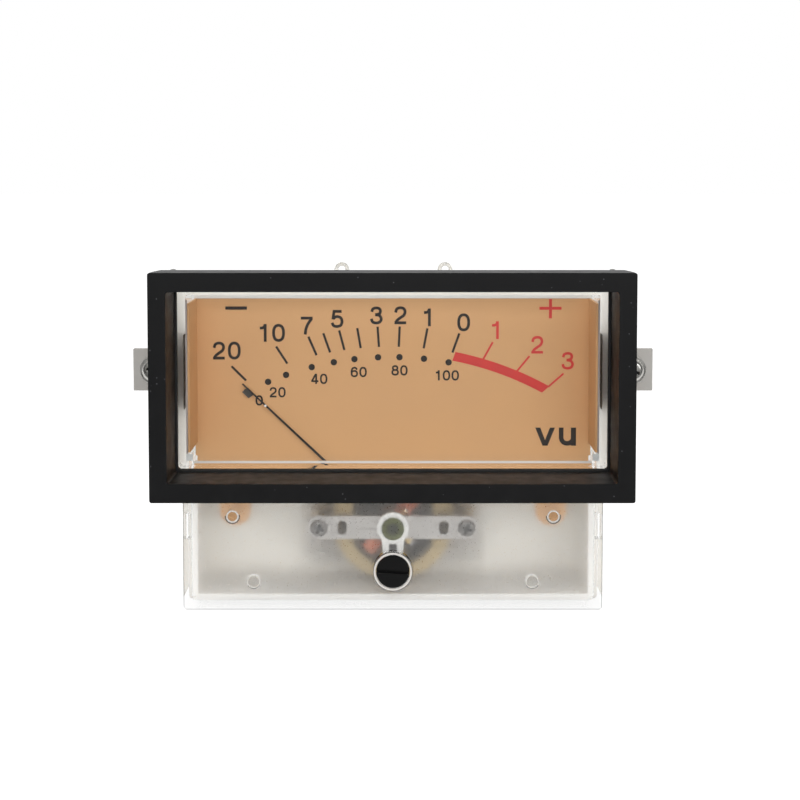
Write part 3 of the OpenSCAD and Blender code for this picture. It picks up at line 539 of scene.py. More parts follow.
def tinted_where(made, mask_of, colour):
    """The same material, with another colour where mask_of, given its Object place, is 1."""
    tree = made.node_tree
    base = tree.nodes["Principled BSDF"].inputs["Base Color"]
    before = base.links[0].from_socket
    mask = mask_of(tree, object_place(tree))
    tree.links.new(mixed(tree, mask, before, (*colour, 1.0)), base)
    return made


def plated_face(tree, place):
    """1 on the brackets' plated face, between their upper and lower edges, which carry painted
    shade.
    """
    return within(tree, axes(tree, place)[2], PLATED_FOOT, PLATED_TOP)


def painted_yoke_shade(tree, place):
    """1 where shade is painted on the yoke's front: the coil's shade, and the arm's shadow behind
    the bridge's slots.
    """
    across, _, height = axes(tree, place)
    flat = add(tree, "VectorMath", {0: place, 1: (1, 0, 1)}, operation="MULTIPLY").outputs[0]
    disc = near(tree, flat, (PIVOT.x, 0, PIVOT.z), SHADE_RADIUS)
    shade = times(tree, disc, within(tree, across, -SHADE_SIDE, SHADE_SIDE))
    side = either_side(tree, across)
    in_slot = within(tree, side, BRIDGE_SLOT_X - SLOT_SIDE, BRIDGE_SLOT_X + SLOT_SIDE)
    level = within(tree, height, PIVOT.z + SLOT_FOOT, PIVOT.z + SLOT_TOP)
    return either(tree, shade, times(tree, in_slot, level))


FINISHES = {
    "black_bezel": finish(
        "black_bezel",
        (0.0066, 0.0067, 0.0072),
        (0.42, 0.52),
        tone=(180.0, 0.10),
        grain=(2600.0, 0.012),
        speck=((0.05, 0.05, 0.055), 700.0, 0.10, 0.25),
        Specular_IOR_Level=0.14,
    ),
    "plated_steel": finish(
        "plated_steel", (0.60, 0.59, 0.56), (0.24, 0.36), 1.0, stretch=(1, 0.2, 1)
    ),
    "black_rubber": finish("black_rubber", (0.008, 0.008, 0.008), (0.6, 0.75)),
    "clear_cover": make_clear_cover(),
    "milky_housing": finish(
        "milky_housing",
        (0.94, 0.895, 0.835),
        (0.30, 0.40),
        tone=(60.0, 0.02),
        grain=(1500.0, 0.004),
        Subsurface_Weight=0.7,
        Subsurface_Scale=3.0 * MM,
        Subsurface_Radius=(1.0, 0.95, 0.9),
    ),
    "tan_dial": finish(
        "tan_dial",
        (0.655, 0.365, 0.163),
        (0.55, 0.65),
        tone=(40.0, 0.025),
        grain=(4000.0, 0.004),
    ),
    "white_metal": finish(
        "white_metal", (0.46, 0.44, 0.42), (0.40, 0.5), 0.35, stretch=(0.15, 1, 1)
    ),
    "brass": finish("brass", (0.78, 0.56, 0.24), (0.24, 0.36), 1.0),
    "ruby": finish(
        "ruby", (0.62, 0.02, 0.05), (0.06, 0.12), Coat_Weight=0.5, Coat_Roughness=0.05
    ),
    "spring_bronze": finish("spring_bronze", (0.76, 0.42, 0.20), (0.22, 0.3), 1.0),
    "magnet_steel": finish("magnet_steel", (0.085, 0.075, 0.066), (0.45, 0.6), 0.7),
    # The yoke's plated colour, with painted shade near the coil and behind the bridge's slots.
    "yellow_zinc": tinted_where(
        finish("yellow_zinc", (0.47, 0.36, 0.19), (0.4, 0.55), 0.75, tone=(150.0, 0.18)),
        painted_yoke_shade,
        (0.035, 0.03, 0.027),
    ),
    "green_board": finish(
        "green_board", (0.03, 0.16, 0.07), (0.3, 0.4), Coat_Weight=0.3
    ),
    "diode_glass": finish("diode_glass", (0.55, 0.16, 0.05), (0.08, 0.15)),
    "resistor_body": finish("resistor_body", (0.56, 0.44, 0.26), (0.35, 0.5)),
    "lamp_lens": finish("lamp_lens", (0.86, 0.80, 0.62), (0.12, 0.2)),
    "tinned_brass": finish("tinned_brass", (0.56, 0.545, 0.51), (0.3, 0.45), 1.0),
    "red_wire": finish("red_wire", (0.50, 0.03, 0.025), (0.4, 0.5)),
    "black_wire": finish("black_wire", (0.012, 0.012, 0.012), (0.4, 0.5)),
    # Brackets dark all over as painted shade, with the plated colour only on their face between the
    # edges.
    "zinc_steel": tinted_where(
        finish("zinc_steel", (0.03, 0.03, 0.03), (0.40, 0.55), 0.4, stretch=(1, 1, 0.15)),
        plated_face,
        (0.46, 0.445, 0.42),
    ),
    "black_pointer": finish("black_pointer", (0.010, 0.009, 0.009), (0.45, 0.55)),
    "grey_aluminium": finish("grey_aluminium", (0.60, 0.60, 0.61), (0.3, 0.4), 1.0),
    "copper_wire": make_coil_wire(),
    "pivot_steel": finish("pivot_steel", (0.50, 0.50, 0.52), (0.12, 0.2), 1.0),
    "white_lever": finish("white_lever", (0.84, 0.83, 0.80), (0.4, 0.5)),
    "black_screw": finish(
        "black_screw", (0.004, 0.004, 0.004), (0.3, 0.4), Specular_IOR_Level=0.12
    ),
    "worn_steel": finish("worn_steel", (0.22, 0.21, 0.20), (0.35, 0.5), 0.8),
    "green_lacquer": finish(
        "green_lacquer", (0.10, 0.11, 0.03), (0.3, 0.45), 0.1, tone=(900.0, 0.3)
    ),
    "black_ink": finish("black_ink", (0.014, 0.008, 0.006), (0.5, 0.6)),
    "red_ink": finish("red_ink", (0.62, 0.034, 0.027), (0.5, 0.6)),
}

BODY_FINISH = {
    "black_bezel": ["bezel_frame"],
    "black_rubber": ["window_gasket"],
    "clear_cover": ["front_cover"],
    "milky_housing": ["rear_housing"],
    "tan_dial": ["dial_plate"],
    "white_metal": ["front_bridge", "rear_plate"],
    "brass": [
        "bridge_pillars",
        "rear_jewel_screw",
        "hairspring_collets",
        "rear_spring_lug",
        "core_holder",
        "yoke_spacers",
        "terminal_nuts",
        "terminal_studs",
        "balance_weights",
    ],
    "plated_steel": [
        "bezel_studs",
        "pointer_stops",
        "plate_screws",
        "terminal_washers",
        "bracket_screws",
        "bracket_washers",
        "bracket_nuts",
        "bracket_fixing_screws",
    ],
    "worn_steel": ["bridge_screws"],
    "green_lacquer": ["front_jewel_screw"],
    "ruby": ["pivot_jewels"],
    "white_lever": ["zero_lever"],
    "black_screw": ["zero_screw"],
    "spring_bronze": ["front_hairspring", "rear_hairspring"],
    "black_pointer": ["pointer_needle"],
    "grey_aluminium": ["pointer_hub", "coil_bobbin"],
    "pivot_steel": ["front_pivot", "rear_pivot"],
    "copper_wire": ["moving_coil"],
    "magnet_steel": ["core_magnet"],
    "yellow_zinc": ["yoke_ring"],
    "green_board": ["rectifier_board", "lamp_board"],
    "diode_glass": ["rectifier_diodes"],
    "resistor_body": ["series_resistor"],
    "lamp_lens": ["dial_lamps"],
    "tinned_brass": ["lamp_pins", "solder_lugs"],
    "red_wire": ["positive_lead"],
    "black_wire": ["negative_lead"],
    "zinc_steel": ["left_bracket", "right_bracket"],
}

MERGE = 0.001  # points closer than this are one
PLAIN_EDGE = 0.06  # how far an edge is broken, where its piece isn't in the list
EDGES = {
    "bezel_frame": 0.15,
    "front_cover": 0.12,
    "rear_housing": 0.2,
    "window_gasket": 0.1,
    "left_bracket": 0.12,
    "right_bracket": 0.12,
    "front_bridge": 0.12,
    "terminal_nuts": 0.12,
    "bracket_nuts": 0.12,
    "yoke_ring": 0.15,
    "core_magnet": 0.15,
    "zero_screw": 0.1,
    "dial_plate": 0.08,
}


def soften(piece, width):
    """Merges a piece's loose triangles and breaks its edges, so that flat faces stay flat."""
    piece.data.shade_smooth()
    for layer in ("custom_normal", "sharp_edge", "sharp_face"):
        if layer in piece.data.attributes:
            piece.data.attributes.remove(piece.data.attributes[layer])
    weld = piece.modifiers.new("merge", "WELD")
    weld.merge_threshold = MERGE * MM
    bevel = piece.modifiers.new("edges", "BEVEL")
    bevel.width = width * MM
    bevel.segments = 2
    bevel.limit_method = "ANGLE"
    bevel.angle_limit = np.radians(32.0)
    bevel.harden_normals = True


for material, members in BODY_FINISH.items():
    for member in members:
        piece = nodes[member]
        piece.data.materials.clear()
        piece.data.materials.append(FINISHES[material])
        soften(piece, EDGES.get(member, PLAIN_EDGE))


# ------------------------------------------------------------------ print on the dial

ARC_DROP = 32.0  # the scale's arcs are struck from this far below the pivot
PRINT_X = PIVOT.x - 0.43  # the print sits a little to the left of the pivot
INK_RISE, INK_SINK = 0.02, 0.002  # how far the ink stands out of the dial, and sinks into it
ON_DIAL = (DIAL_Y - INK_RISE, DIAL_Y + INK_SINK)


def on_ring(angle, radius):
    """The point at angle degrees left of upright from the pivot, on an arc of that radius.

    The distance s from the pivot solves |s (-sin a, cos a) + (0, ARC_DROP)| = radius."""
    a = np.radians(np.asarray(angle, float))
    s = np.sqrt(radius**2 - (ARC_DROP * np.sin(a)) ** 2) - ARC_DROP * np.cos(a)
    return np.stack([PRINT_X - s * np.sin(a), PIVOT.z + s * np.cos(a)], -1)


def smooth_line(points, steps=9):
    """A smooth line through the points: between two of them, a cubic whose slope at each is half
    the way from its neighbour before to its neighbour after."""
    p = np.asarray(points, float)
    p = np.vstack([2 * p[0] - p[1], p, 2 * p[-1] - p[-2]])
    t = np.linspace(0, 1, steps, endpoint=False)[None, :, None]
    a, b, c, d = (q[:, None, :] for q in (p[:-3], p[1:-2], p[2:-1], p[3:]))
    line = 0.5 * (
        2 * b
        + (c - a) * t
        + (2 * a - 5 * b + 4 * c - d) * t**2
        + (3 * b - a - 3 * c + d) * t**3
    )
    return np.vstack([line.reshape(-1, 2), p[-2:-1]])


def round_loop(x, z, half_width, half_height, power=2.35, steps=40):
    """A closed loop a little squarer than an ellipse: |cos|^(2/power) and |sin|^(2/power)."""
    a = np.linspace(0, 2 * np.pi, steps, endpoint=False)
    c, s = np.cos(a), np.sin(a)
    return np.stack(
        [
            x + half_width * np.sign(c) * np.abs(c) ** (2 / power),
            z + half_height * np.sign(s) * np.abs(s) ** (2 / power),
        ],
        -1,
    )


def ribbon(line, width, closed=False):
    """Left and right edges of a stroke of that width along the line, mitred at its corners."""
    step = np.roll(line, -1, 0) - line
    if not closed:
        step[-1] = step[-2]
    step /= np.linalg.norm(step, axis=1)[:, None]
    before = np.roll(step, 1, 0)
    if not closed:
        before[0] = step[0]
    across = np.stack([-(step + before)[:, 1], (step + before)[:, 0]], -1)
    across /= np.linalg.norm(across, axis=1)[:, None]
    side = np.stack([-step[:, 1], step[:, 0]], -1)
    across /= np.clip((across * side).sum(1), 0.5, 1)[:, None]
    return line + across * width / 2, line - across * width / 2


def stroke_mesh(left, right, closed=False, depths=None):
    """A thin closed bar between two edges: four rows of points, front and back of each edge.

    It lies on the dial, or between two depths."""
    n = len(left)
    front, back = depths or ON_DIAL
    rows = [(left, front), (right, front), (right, back), (left, back)]
    points = np.vstack([np.insert(edge, 1, y, axis=1) for edge, y in rows])
    i = np.arange(n if closed else n - 1)
    j = (i + 1) % n
    faces = np.vstack(
        [
            np.stack([a * n + i, a * n + j, b * n + j, b * n + i], -1)
            for a, b in ((0, 1), (1, 2), (2, 3), (3, 0))
        ]
    )
    if not closed:
        ends = np.arange(4) * n
        faces = np.vstack([faces, ends[None], ends[None, ::-1] + n - 1])
    return points, faces.tolist()


def disc_mesh(centre, radius, depths=None, steps=28):
    """A thin closed disc: a ring of points at the front, one at the back, and a lid on each."""
    a = np.linspace(0, 2 * np.pi, steps, endpoint=False)
    ring = np.asarray(centre) + radius * np.stack([np.cos(a), np.sin(a)], -1)
    return outline_mesh(ring, depths)


def ring_mesh(centre, radius, width, depths, start=0.0, end=360.0, steps=48):
    """A thin ring, or the arc of one from start to end degrees anticlockwise from the right."""
    closed = end - start >= 360.0
    a = np.radians(np.linspace(start, end, steps, endpoint=not closed))
    way = np.stack([np.cos(a), np.sin(a)], -1)
    inner, outer = (np.asarray(centre) + (radius + k * width / 2) * way for k in (-1, 1))
    return stroke_mesh(inner, outer, closed, depths)


def outline_mesh(outline, depths=None):
    """A thin closed plate with that outline, which runs anticlockwise seen from the front.

    It lies on the dial, or between two depths."""
    n = len(outline)
    front, back = depths or ON_DIAL
    points = np.vstack(
        [np.insert(outline, 1, front, axis=1), np.insert(outline, 1, back, axis=1)]
    )
    i = np.arange(n)
    j = (i + 1) % n
    sides = np.stack([j, i, i + n, j + n], -1).tolist()
    return points, sides + [i.tolist(), (i[::-1] + n).tolist()]


REACH = 0.279  # half the width of a digit's middle line, for a digit 1 high
TOP, FOOT = 0.923, 0.077  # where that line is highest and lowest
# Each digit as (closed, middle line) strokes, in its own height from 0 to 1 and centred on 0.
DIGITS = {
    "0": [(True, round_loop(0, 0.5, REACH, TOP - 0.5))],
    "1": [
        (False, np.array([(0.113, 0.0), (0.113, 1.0)])),
        (False, smooth_line([(-0.19, 0.77), (-0.03, 0.785), (0.06, 0.85), (0.10, 0.95)])),
    ],
    "2": [
        (
            False,
            smooth_line(
                [
                    (-0.268, 0.655),
                    (-0.195, 0.855),
                    (0.0, TOP),
                    (0.19, 0.865),
                    (0.262, 0.685),
                    (0.185, 0.495),
                    (0.0, 0.36),
                    (-0.165, 0.23),
                    (-0.255, 0.09),
                ]
            ),
        ),
        (False, np.array([(-0.33, FOOT), (0.325, FOOT)])),
    ],
    "3": [
        (
            False,
            smooth_line(
                [
                    (-0.25, 0.70),
                    (-0.185, 0.865),
                    (0.0, TOP),
                    (0.175, 0.875),
                    (0.235, 0.735),
                    (0.16, 0.59),
                    (-0.06, 0.54),
                ]
            ),
        ),
        (
            False,
            smooth_line(
                [
                    (-0.06, 0.54),
                    (0.18, 0.49),
                    (REACH, 0.305),
                    (0.195, 0.135),
                    (0.0, FOOT),
                    (-0.20, 0.135),
                    (-REACH, 0.315),
                ]
            ),
        ),
    ],
    "4": [
        (False, np.array([(0.125, 0.0), (0.125, 1.0)])),
        (False, np.array([(0.10, 0.985), (-0.30, 0.27)])),
        (False, np.array([(-0.355, 0.27), (0.345, 0.27)])),
    ],
    "5": [
        (False, np.array([(0.26, TOP), (-0.165, TOP), (-0.235, 0.47)])),
        (
            False,
            smooth_line(
                [
                    (-0.225, 0.495),
                    (-0.11, 0.60),
                    (0.03, 0.63),
                    (0.205, 0.56),
                    (REACH, 0.355),
                    (0.205, 0.145),
                    (0.0, FOOT),
                    (-0.19, 0.125),
                    (-REACH, 0.285),
                ]
            ),
        ),
    ],
    "6": [
        (True, round_loop(0.005, 0.34, REACH - 0.01, 0.263)),
        (
            False,
            smooth_line(
                [
                    (0.25, 0.72),
                    (0.175, 0.87),
                    (0.01, TOP),
                    (-0.17, 0.845),
                    (-0.258, 0.62),
                    (-0.262, 0.36),
                ]
            ),
        ),
    ],
    "7": [
        (False, np.array([(-0.335, TOP), (0.33, TOP)])),
        (False, smooth_line([(0.285, 0.90), (0.09, 0.63), (-0.04, 0.33), (-0.09, 0.0)])),
    ],
    "8": [
        (True, round_loop(0, 0.735, 0.225, 0.188)),
        (True, round_loop(0, 0.31, REACH, 0.233)),
    ],
}


# The radii of the scale's arcs, and the sizes of its print.
TICK_ARC, TICK_LENGTH = 70.9, 4.45
BLACK_TICK, RED_TICK = 0.5, 0.42
DOT_ARC, DOT_RADIUS = 68.65, 0.70
PERCENT_ARC, PERCENT_HEIGHT, PERCENT_STROKE = 65.75, 2.22, 0.39
NUMBER_HEIGHT, BLACK_STROKE, RED_STROKE = 3.88, 0.62, 0.58
BAND_TOP, BAND_FOOT = 71.15, 69.15
STEP, STEPS = 0.003, 5  # how far apart the fronts of strokes lie, and how many such steps


def label(text, centre, height, stroke, advance=0.86):
    """The strokes of a number, upright, side by side, its middle at centre."""
    made = []
    for i, digit in enumerate(text):
        x = centre[0] + (i - (len(text) - 1) / 2) * advance * height
        for closed, line in DIGITS[digit]:
            placed = line * height + (x, centre[1] - height / 2)
            made.append(stroke_mesh(*ribbon(placed, stroke, closed), closed))
    return made


def bar(start, end, width, depths=None):
    """A straight stroke between two points, on the dial or between two depths."""
    return stroke_mesh(*ribbon(np.array([start, end], float), width), depths=depths)


def tick(angle, width):
    """A scale mark that points at the pivot, outwards from its arc."""
    foot = on_ring(angle, TICK_ARC)
    out = foot - (PRINT_X, PIVOT.z)
    return bar(foot, foot + out / np.linalg.norm(out) * TICK_LENGTH, width)


def stepped(parts):
    """The same strokes, their fronts a few micrometres apart, so that crossing ones share no
    face."""
    for i, (points, _) in enumerate(parts):
        points[:, 1] -= np.where(points[:, 1] < DIAL_Y, STEP * (i % STEPS), 0.0)
    return parts


def join_pieces(name, parts, body, material):
    """One mesh from closed parts, each (points in millimetres, faces), riding on a body."""
    points, faces, first = [], [], 0
    for p, f in parts:
        points.append(p)
        faces += [[k + first for k in face] for face in f]
        first += len(p)
    mesh = bpy.data.meshes.new(name)
    mesh.from_pydata((np.vstack(points) * MM).tolist(), [], faces)
    mesh.materials.append(material)
    piece = bpy.data.objects.new(name, mesh)
    bpy.context.scene.collection.objects.link(piece)
    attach(piece, body)
    return piece


# Degrees left of upright, here and in the keys of the numbers, each with its arc's radius.
BLACK_TICKS = (45.05, 32.65, 23.6, 19.37, 14.85, 9.67, 3.85, -2.5, -10.45, -19.55)
RED_TICKS = (-29.0, -39.25, -48.65)
BLACK_NUMBERS = {
    43.2: ("20", 78.65),
    31.9: ("10", 78.4),
    22.8: ("7", 77.7),
    14.6: ("5", 77.86),
    4.0: ("3", 77.8),
    -2.55: ("2", 77.8),
    -9.9: ("1", 77.72),
    -19.65: ("0", 77.85),
}
RED_NUMBERS = {-28.1: ("1", 77.9), -38.95: ("2", 78.1), -47.0: ("3", 77.95)}
RED_BAND = (-20.4, -48.75)
PERCENT_DOTS = (47.3, 40.6, 34.9, 26.6, 19.3, 12.4, 4.4, -2.9, -11.2, -19.45)
PERCENT_NUMBERS = {
    46.6: "0",
    40.5: "20",
    26.1: "40",
    11.9: "60",
    -3.15: "80",
    -20.3: "100",
}

black_print = [tick(a, BLACK_TICK) for a in BLACK_TICKS]
black_print += [disc_mesh(on_ring(a, DOT_ARC), DOT_RADIUS) for a in PERCENT_DOTS]
for angle, (text, radius) in BLACK_NUMBERS.items():
    black_print += label(text, on_ring(angle, radius), NUMBER_HEIGHT, BLACK_STROKE)
for angle, text in PERCENT_NUMBERS.items():
    black_print += label(text, on_ring(angle, PERCENT_ARC), PERCENT_HEIGHT, PERCENT_STROKE)

minus_left, minus_right, minus_z = -36.4, -31.7, 13.55
black_print.append(bar((minus_left, minus_z), (minus_right, minus_z), width=0.7))

# The unit, volume units, in plain strokes: a V with level ends and a small u.
unit_x, unit_foot, unit_top = 35.38, -16.62, -12.63
black_print.append(
    outline_mesh(
        np.array(
            [
                (unit_x - 4.35, unit_top),
                (unit_x - 2.75, unit_foot),
                (unit_x - 1.65, unit_foot),
                (unit_x - 0.05, unit_top),
                (unit_x - 1.15, unit_top),
                (unit_x - 2.20, unit_foot + 1.25),
                (unit_x - 3.25, unit_top),
            ]
        )
    )
)
cup_x, cup_z, cup_radius = unit_x + 2.62, -14.8, 1.31
turn = np.linspace(np.pi, 1.85 * np.pi, num=22)
cup_line = np.stack([cup_x + cup_radius * np.cos(turn), cup_z + cup_radius * np.sin(turn)], -1)
cup_line = np.vstack([(cup_x - cup_radius, unit_top), cup_line])
black_print.append(stroke_mesh(*ribbon(cup_line, width=1.0)))
stem_x = unit_x + 3.98
black_print.append(bar((stem_x, unit_top), (stem_x, unit_foot), width=1.12))

red_print = [tick(a, RED_TICK) for a in RED_TICKS]
for angle, (text, radius) in RED_NUMBERS.items():
    red_print += label(text, on_ring(angle, radius), NUMBER_HEIGHT, RED_STROKE)
sweep = np.linspace(*RED_BAND, num=48)
red_print.append(stroke_mesh(on_ring(sweep, BAND_TOP), on_ring(sweep, BAND_FOOT)))

# The plus sign. Its upright is in two pieces, which stop short of the level bar's middle.
plus_x, plus_z, plus_width, plus_gap = 34.2, 13.5, 0.65, 0.33
plus_side, plus_up, plus_down = 2.4, 2.0, 2.2
for start, end in (
    ((plus_x - plus_side, plus_z), (plus_x + plus_side, plus_z)),
    ((plus_x, plus_z + plus_up), (plus_x, plus_z + plus_gap)),
    ((plus_x, plus_z - plus_gap), (plus_x, plus_z - plus_down)),
):
    red_print.append(bar(start, end, plus_width))

for name, parts, ink in (
    ("dial_black_print", black_print, "black_ink"),
    ("dial_red_print", red_print, "red_ink"),
):
    join_pieces(name, stepped(parts), "case", FINISHES[ink])


# ------------------------------------------------------------------ pieces that the CAD leaves out, and painted light and shade

SIDES = (-1, 1)
FILM_Y = FROST_Y + 0.02
FILM_TOP = -19.5


def cross_mesh(centre, length, width, turn, depths):
    """A flat cross with square ends, turned clockwise seen from the front."""
    a, b, t = length / 2, width / 2, -np.radians(turn)
    corners = np.array([(a, b), (b, b), (b, a), (-b, a), (-b, b), (-a, b)], float)
    corners = np.vstack([corners, -corners])
    turned = np.stack(
        [
            corners[:, 0] * np.cos(t) - corners[:, 1] * np.sin(t),
            corners[:, 0] * np.sin(t) + corners[:, 1] * np.cos(t),
        ],
        -1,
    )
    return outline_mesh(turned + centre, depths)


def strip_mesh(half_width, foot, top, depths):
    """A flat strip across the middle, between two heights and two depths."""
    corners = [(-half_width, foot), (half_width, foot), (half_width, top), (-half_width, top)]
    return outline_mesh(np.array(corners), depths)


def beside_needle(points):
    """Points given as (from the needle's tip towards the pivot, to the needle's lower left)."""
    back, aside = np.asarray(points, float).T
    along, rest = NEEDLE_END - back, np.radians(REST_ANGLE)
    return np.stack(
        [
            PIVOT.x - along * np.sin(rest) - aside * np.cos(rest),
            PIVOT.z + along * np.cos(rest) - aside * np.sin(rest),
        ],
        -1,
    )


def make_frost_film():
    """The etched skin of the lower front's inside: a thin white film, clear at the clamp pins,
    the jewel screw and the adjuster's boss. Shadows and soft light pass it."""
    made, tree, shader = new_material("frost_film")
    shader.inputs["Base Color"].default_value = (0.90, 0.87, 0.82, 1.0)
    shader.inputs["Roughness"].default_value = 0.8
    place = add(tree, "VectorMath", {0: object_place(tree)}, operation="ABSOLUTE").outputs[0]
    level = place_effect(tree, RUB, Low=0.03, High=0.10, Scale=ETCH_SCALE)
    for x, z, radius in (
        (ADJUSTER.x, ADJUSTER.z, BOSS_CLEAR),
        (PIN_X, PIN_Z, PIN_CLEAR),
        (PIVOT.x, PIVOT.z, JEWEL_CLEAR),
    ):
        spot = near(tree, place, (abs(x), FILM_Y, abs(z)), radius)
        level = times(tree, level, without(tree, spot))
    alpha = times(tree, level, without(tree, let_through(tree)))
    tree.links.new(alpha, shader.inputs["Alpha"])
    return made


# Painted shade in the screws' cross recesses: a dark cross set into each.
RECESS_TURN = 20  # degrees
recess_painted_shade = finish("recess_painted_shade", (0.008, 0.008, 0.008), (0.6, 0.7))
for name, screw_x, screw_z, length, width, depths in (
    ("bridge_screw_recess_shade", BRIDGE_SCREW_X, PIVOT.z, 2.3, 0.62, (6.34, 6.92)),
    ("bracket_screw_recess_shade", EAR_SCREW_X, 0.0, 2.8, 0.6, (9.4, 9.67)),
):
    crosses = [
        cross_mesh((side * screw_x, screw_z), length, width, RECESS_TURN, depths)
        for side in SIDES
    ]
    join_pieces(name, crosses, "case", recess_painted_shade)

# A dark drop of lacquer in the middle of the front jewel screw.
join_pieces(
    "jewel_screw_lacquer",
    [disc_mesh((PIVOT.x, PIVOT.z), radius=1.25, depths=(6.05, 6.42))],
    "case",
    finish("dark_lacquer", (0.018, 0.018, 0.010), (0.3, 0.4), tone=(1800.0, 0.5)),
)

# A small dark grey tab on the needle's lower left near its tip, and a speck of white paint further
# down.
join_pieces(
    "needle_tab",
    [
        outline_mesh(
            beside_needle([(1.4, 0.1), (1.15, 1.35), (3.15, 1.35), (3.4, 0.1)]),
            depths=(9.93, 10.12),
        )
    ],
    "pointer",
    finish("grey_tab", (0.045, 0.04, 0.035), (0.5, 0.6)),
)
join_pieces(
    "needle_speck",
    [disc_mesh(beside_needle([(6.9, 0.05)])[0], radius=0.26, depths=(9.84, 9.95))],
    "pointer",
    FINISHES["white_lever"],
)

# A painted highlight: a white strip over the dial's top edge, in front of the housing's rim,
# for the light that the window's top wall brings in.
join_pieces(
    "dial_top_highlight",
    [
        strip_mesh(
            half_width=43.05,
            foot=15.65,
            top=17.3,
            depths=(DIAL_Y + 0.05, DIAL_Y + DIAL_T + 0.08),
        )
    ],
    "case",
    finish("painted_top_highlight", (0.86, 0.84, 0.80), (0.4, 0.5), tone=(60.0, 0.02)),
)

# Painted lines where the window meets the lower and the side walls of its block: a pale painted
# highlight along the lower one and painted shade along the sides. Also the square ends of the
# corner posts, just in front of the window.
LINE_DEPTHS = (-0.28, -0.2)
SIDE_LINE_X, SIDE_LINE_FOOT, SIDE_LINE_TOP = 43.12, -15.9, 16.4
POST_X, POST_FOOT, POST_TOP = 42.65, -17.45, -16.05
join_pieces(
    "window_foot_highlight",
    [strip_mesh(half_width=41.9, foot=-17.98, top=-17.5, depths=(-0.3, -0.2))],
    "case",
    finish("painted_window_highlight", (0.74, 0.70, 0.65), (0.4, 0.5), tone=(60.0, 0.02)),
)
join_pieces(
    "window_side_shade",
    [
        bar((x, SIDE_LINE_FOOT), (x, SIDE_LINE_TOP), width=0.34, depths=LINE_DEPTHS)
        for x in (-SIDE_LINE_X, SIDE_LINE_X)
    ],
    "case",
    finish("painted_window_side_shade", (0.36, 0.31, 0.29), (0.4, 0.5), tone=(60.0, 0.02)),
)
join_pieces(
    "corner_post_ends",
    [bar((x, POST_FOOT), (x, POST_TOP), width=1.4, depths=LINE_DEPTHS) for x in (-POST_X, POST_X)],
    "case",
    finish("post_end", (0.70, 0.71, 0.69), (0.3, 0.4), tone=(900.0, 0.12)),
)

# Painted highlights and painted shade: bright and dark rings where the pins, the ejector marks
# and the adjuster's boss turn the light.
RIM_DEPTHS = (FROST_Y - 0.10, FROST_Y - 0.01)
# A dark ring is open, and runs round the lower side of a pin or a mark, between these degrees.
PIN_SHADE, MARK_SHADE = (175, 375), (215, 330)
painted_highlight_rim = finish("painted_highlight_rim", (0.70, 0.675, 0.64), (0.2, 0.3))
painted_shade_rim = finish("painted_shade_rim", (0.06, 0.055, 0.05), (0.3, 0.4))
boss = (ADJUSTER.x, ADJUSTER.z)
pins = [(side * PIN_X, PIN_Z) for side in SIDES]
marks = [(side * MARK_X, MARK_Z) for side in SIDES]
bright = [ring_mesh(c, 1.2, 0.34, RIM_DEPTHS) for c in pins]
bright += [ring_mesh(c, 1.35, 0.22, RIM_DEPTHS) for c in marks]
bright.append(ring_mesh(boss, radius=3.92, width=0.42, depths=(3.35, 3.42)))
dark = [ring_mesh(c, 1.5, 0.22, RIM_DEPTHS, *PIN_SHADE) for c in pins]
dark += [ring_mesh(c, 1.5, 0.14, RIM_DEPTHS, *MARK_SHADE) for c in marks]
dark.append(ring_mesh(boss, radius=4.19, width=0.12, depths=(3.34, 3.42)))
join_pieces("cover_painted_highlight_rims", bright, "case", painted_highlight_rim)
join_pieces("cover_painted_shade_rims", dark, "case", painted_shade_rim)

# The slot in the lever's neck.
join_pieces(
    "lever_slot",
    [bar((0.0, -37.2), (0.0, -40.0), width=1.7, depths=(6.72, 6.9))],
    "zero_lever",
    finish("dark_slot", (0.035, 0.033, 0.03), (0.5, 0.6)),
)

# The film is one open face, just behind the lower front's inner face.
film_corners = np.array(
    [
        (-INSIDE_X, FILM_Y, INSIDE_FOOT),
        (INSIDE_X, FILM_Y, INSIDE_FOOT),
        (INSIDE_X, FILM_Y, FILM_TOP),
        (-INSIDE_X, FILM_Y, FILM_TOP),
    ]
)
join_pieces(
    "lower_front_frost",
    [(film_corners, [[0, 1, 2, 3]])],
    "case",
    make_frost_film(),
)


# ------------------------------------------------------------------ screw threads

ROWS_A_TURN = 9
THREAD_DEPTH = 0.54  # as a share of the pitch
# The groove across one pitch: ROOT less FLANK times the distance from its middle in pitches,
# held between 0 and 1.
ROOT, FLANK = 1.15, 2.9


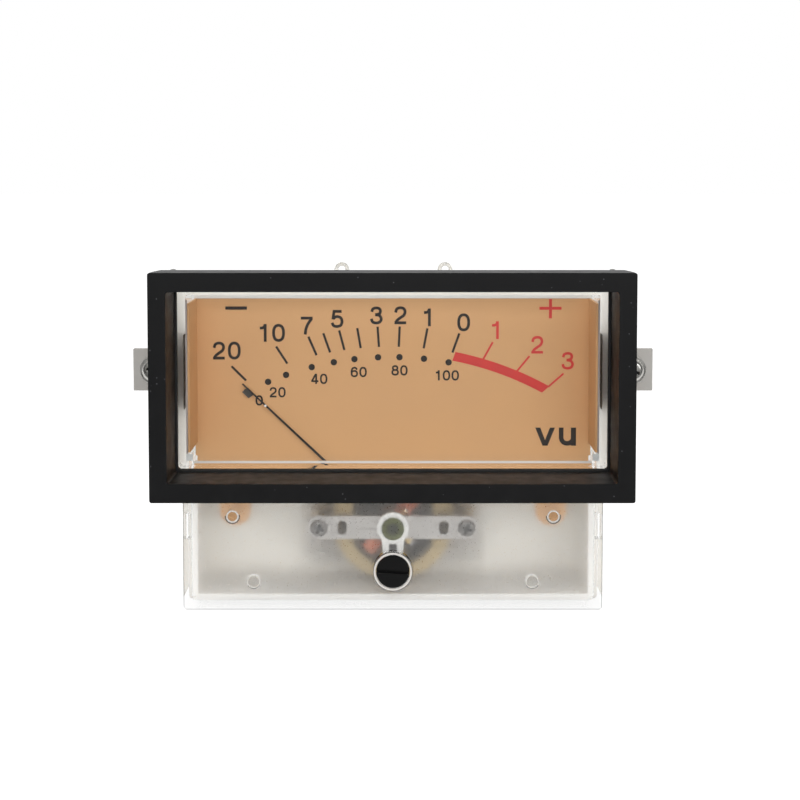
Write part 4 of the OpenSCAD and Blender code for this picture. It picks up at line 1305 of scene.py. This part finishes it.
def thread_mesh(centre, radius, pitch, start, end):
    """A threaded rod along Y, closed at both ends.

    At angle a and length v the radius is the full one less a groove, which is deepest where
    v / pitch - a / 2 pi is halfway between two whole numbers, and a cone takes the far end down."""
    around, along = 32, int((end - start) / pitch * ROWS_A_TURN)
    a = np.linspace(0, 2 * np.pi, around, endpoint=False)[None, :]
    v = np.linspace(0, end - start, along + 1)[:, None]
    phase = (v / pitch - a / (2 * np.pi)) % 1.0
    groove = np.clip(ROOT - np.abs(phase - 0.5) * FLANK, 0, 1) * THREAD_DEPTH * pitch
    cone = radius - np.clip(v - (end - start) + 0.5 * pitch, 0, None)
    r = np.minimum(radius - groove, cone)
    points = np.stack(
        [centre[0] + r * np.cos(a), start + v + 0 * a, centre[1] + r * np.sin(a)], -1
    ).reshape(-1, 3)
    i = np.arange(along)[:, None] * around
    j = np.arange(around)[None, :]
    k = (j + 1) % around
    quads = np.stack([i + j, i + around + j, i + around + k, i + k], -1).reshape(-1, 4)
    rim = np.arange(around)
    return points, quads.tolist() + [rim.tolist(), (rim[::-1] + along * around).tolist()]


def cut_off(mesh, start):
    """Takes off what lies behind start along Y, closes the cut and points the faces outwards."""
    work = bmesh.new()
    work.from_mesh(mesh)
    bmesh.ops.remove_doubles(work, verts=work.verts, dist=MERGE * MM)
    bmesh.ops.bisect_plane(
        work,
        geom=work.verts[:] + work.edges[:] + work.faces[:],
        plane_co=(0, start * MM, 0),
        plane_no=(0, 1, 0),
        clear_outer=True,
        dist=0.1 * MERGE * MM,
    )
    bmesh.ops.holes_fill(work, edges=[e for e in work.edges if e.is_boundary])
    bmesh.ops.recalc_face_normals(work, faces=work.faces)
    work.to_mesh(mesh)
    work.free()


def thread_node(node, name, material, centres, radius, pitch, start, end):
    """Stands for a CAD node: its own shape up to start along Y, and a real thread from there."""
    mesh = nodes[node].data.copy()
    mesh.name = name
    cut_off(mesh, start)
    mesh.materials.clear()
    mesh.materials.append(material)
    bars = bpy.data.objects.new(name, mesh)
    bpy.context.scene.collection.objects.link(bars)
    soften(bars, PLAIN_EDGE)
    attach(bars, "case")
    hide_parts(node)
    rods = [thread_mesh(c, radius, pitch, start, end) for c in centres]
    threads = join_pieces(name + "_thread", rods, "case", material)
    threads.data.shade_smooth()
    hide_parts(node)


thread_node(
    "bezel_studs",
    "bezel_stud_bars",
    finish("dull_zinc", (0.30, 0.295, 0.285), (0.45, 0.6), 0.8),
    [(x, z) for x in (-STUD_X, STUD_X) for z in (-STUD_Z, STUD_Z)],
    radius=1.0,
    pitch=0.4,
    start=0.0,
    end=8.0,
)
thread_node(
    "bracket_screws",
    "bracket_screw_bars",
    FINISHES["plated_steel"],
    [(side * EAR_SCREW_X, 0.0) for side in SIDES],
    radius=1.25,
    pitch=0.45,
    start=14.2,
    end=20.2,
)
thread_node(
    "terminal_studs",
    "terminal_stud_bars",
    FINISHES["brass"],
    [(side * TERMINAL_X, TERMINAL_Z) for side in SIDES],
    radius=1.5,
    pitch=0.5,
    start=34.5,
    end=38.0,
)
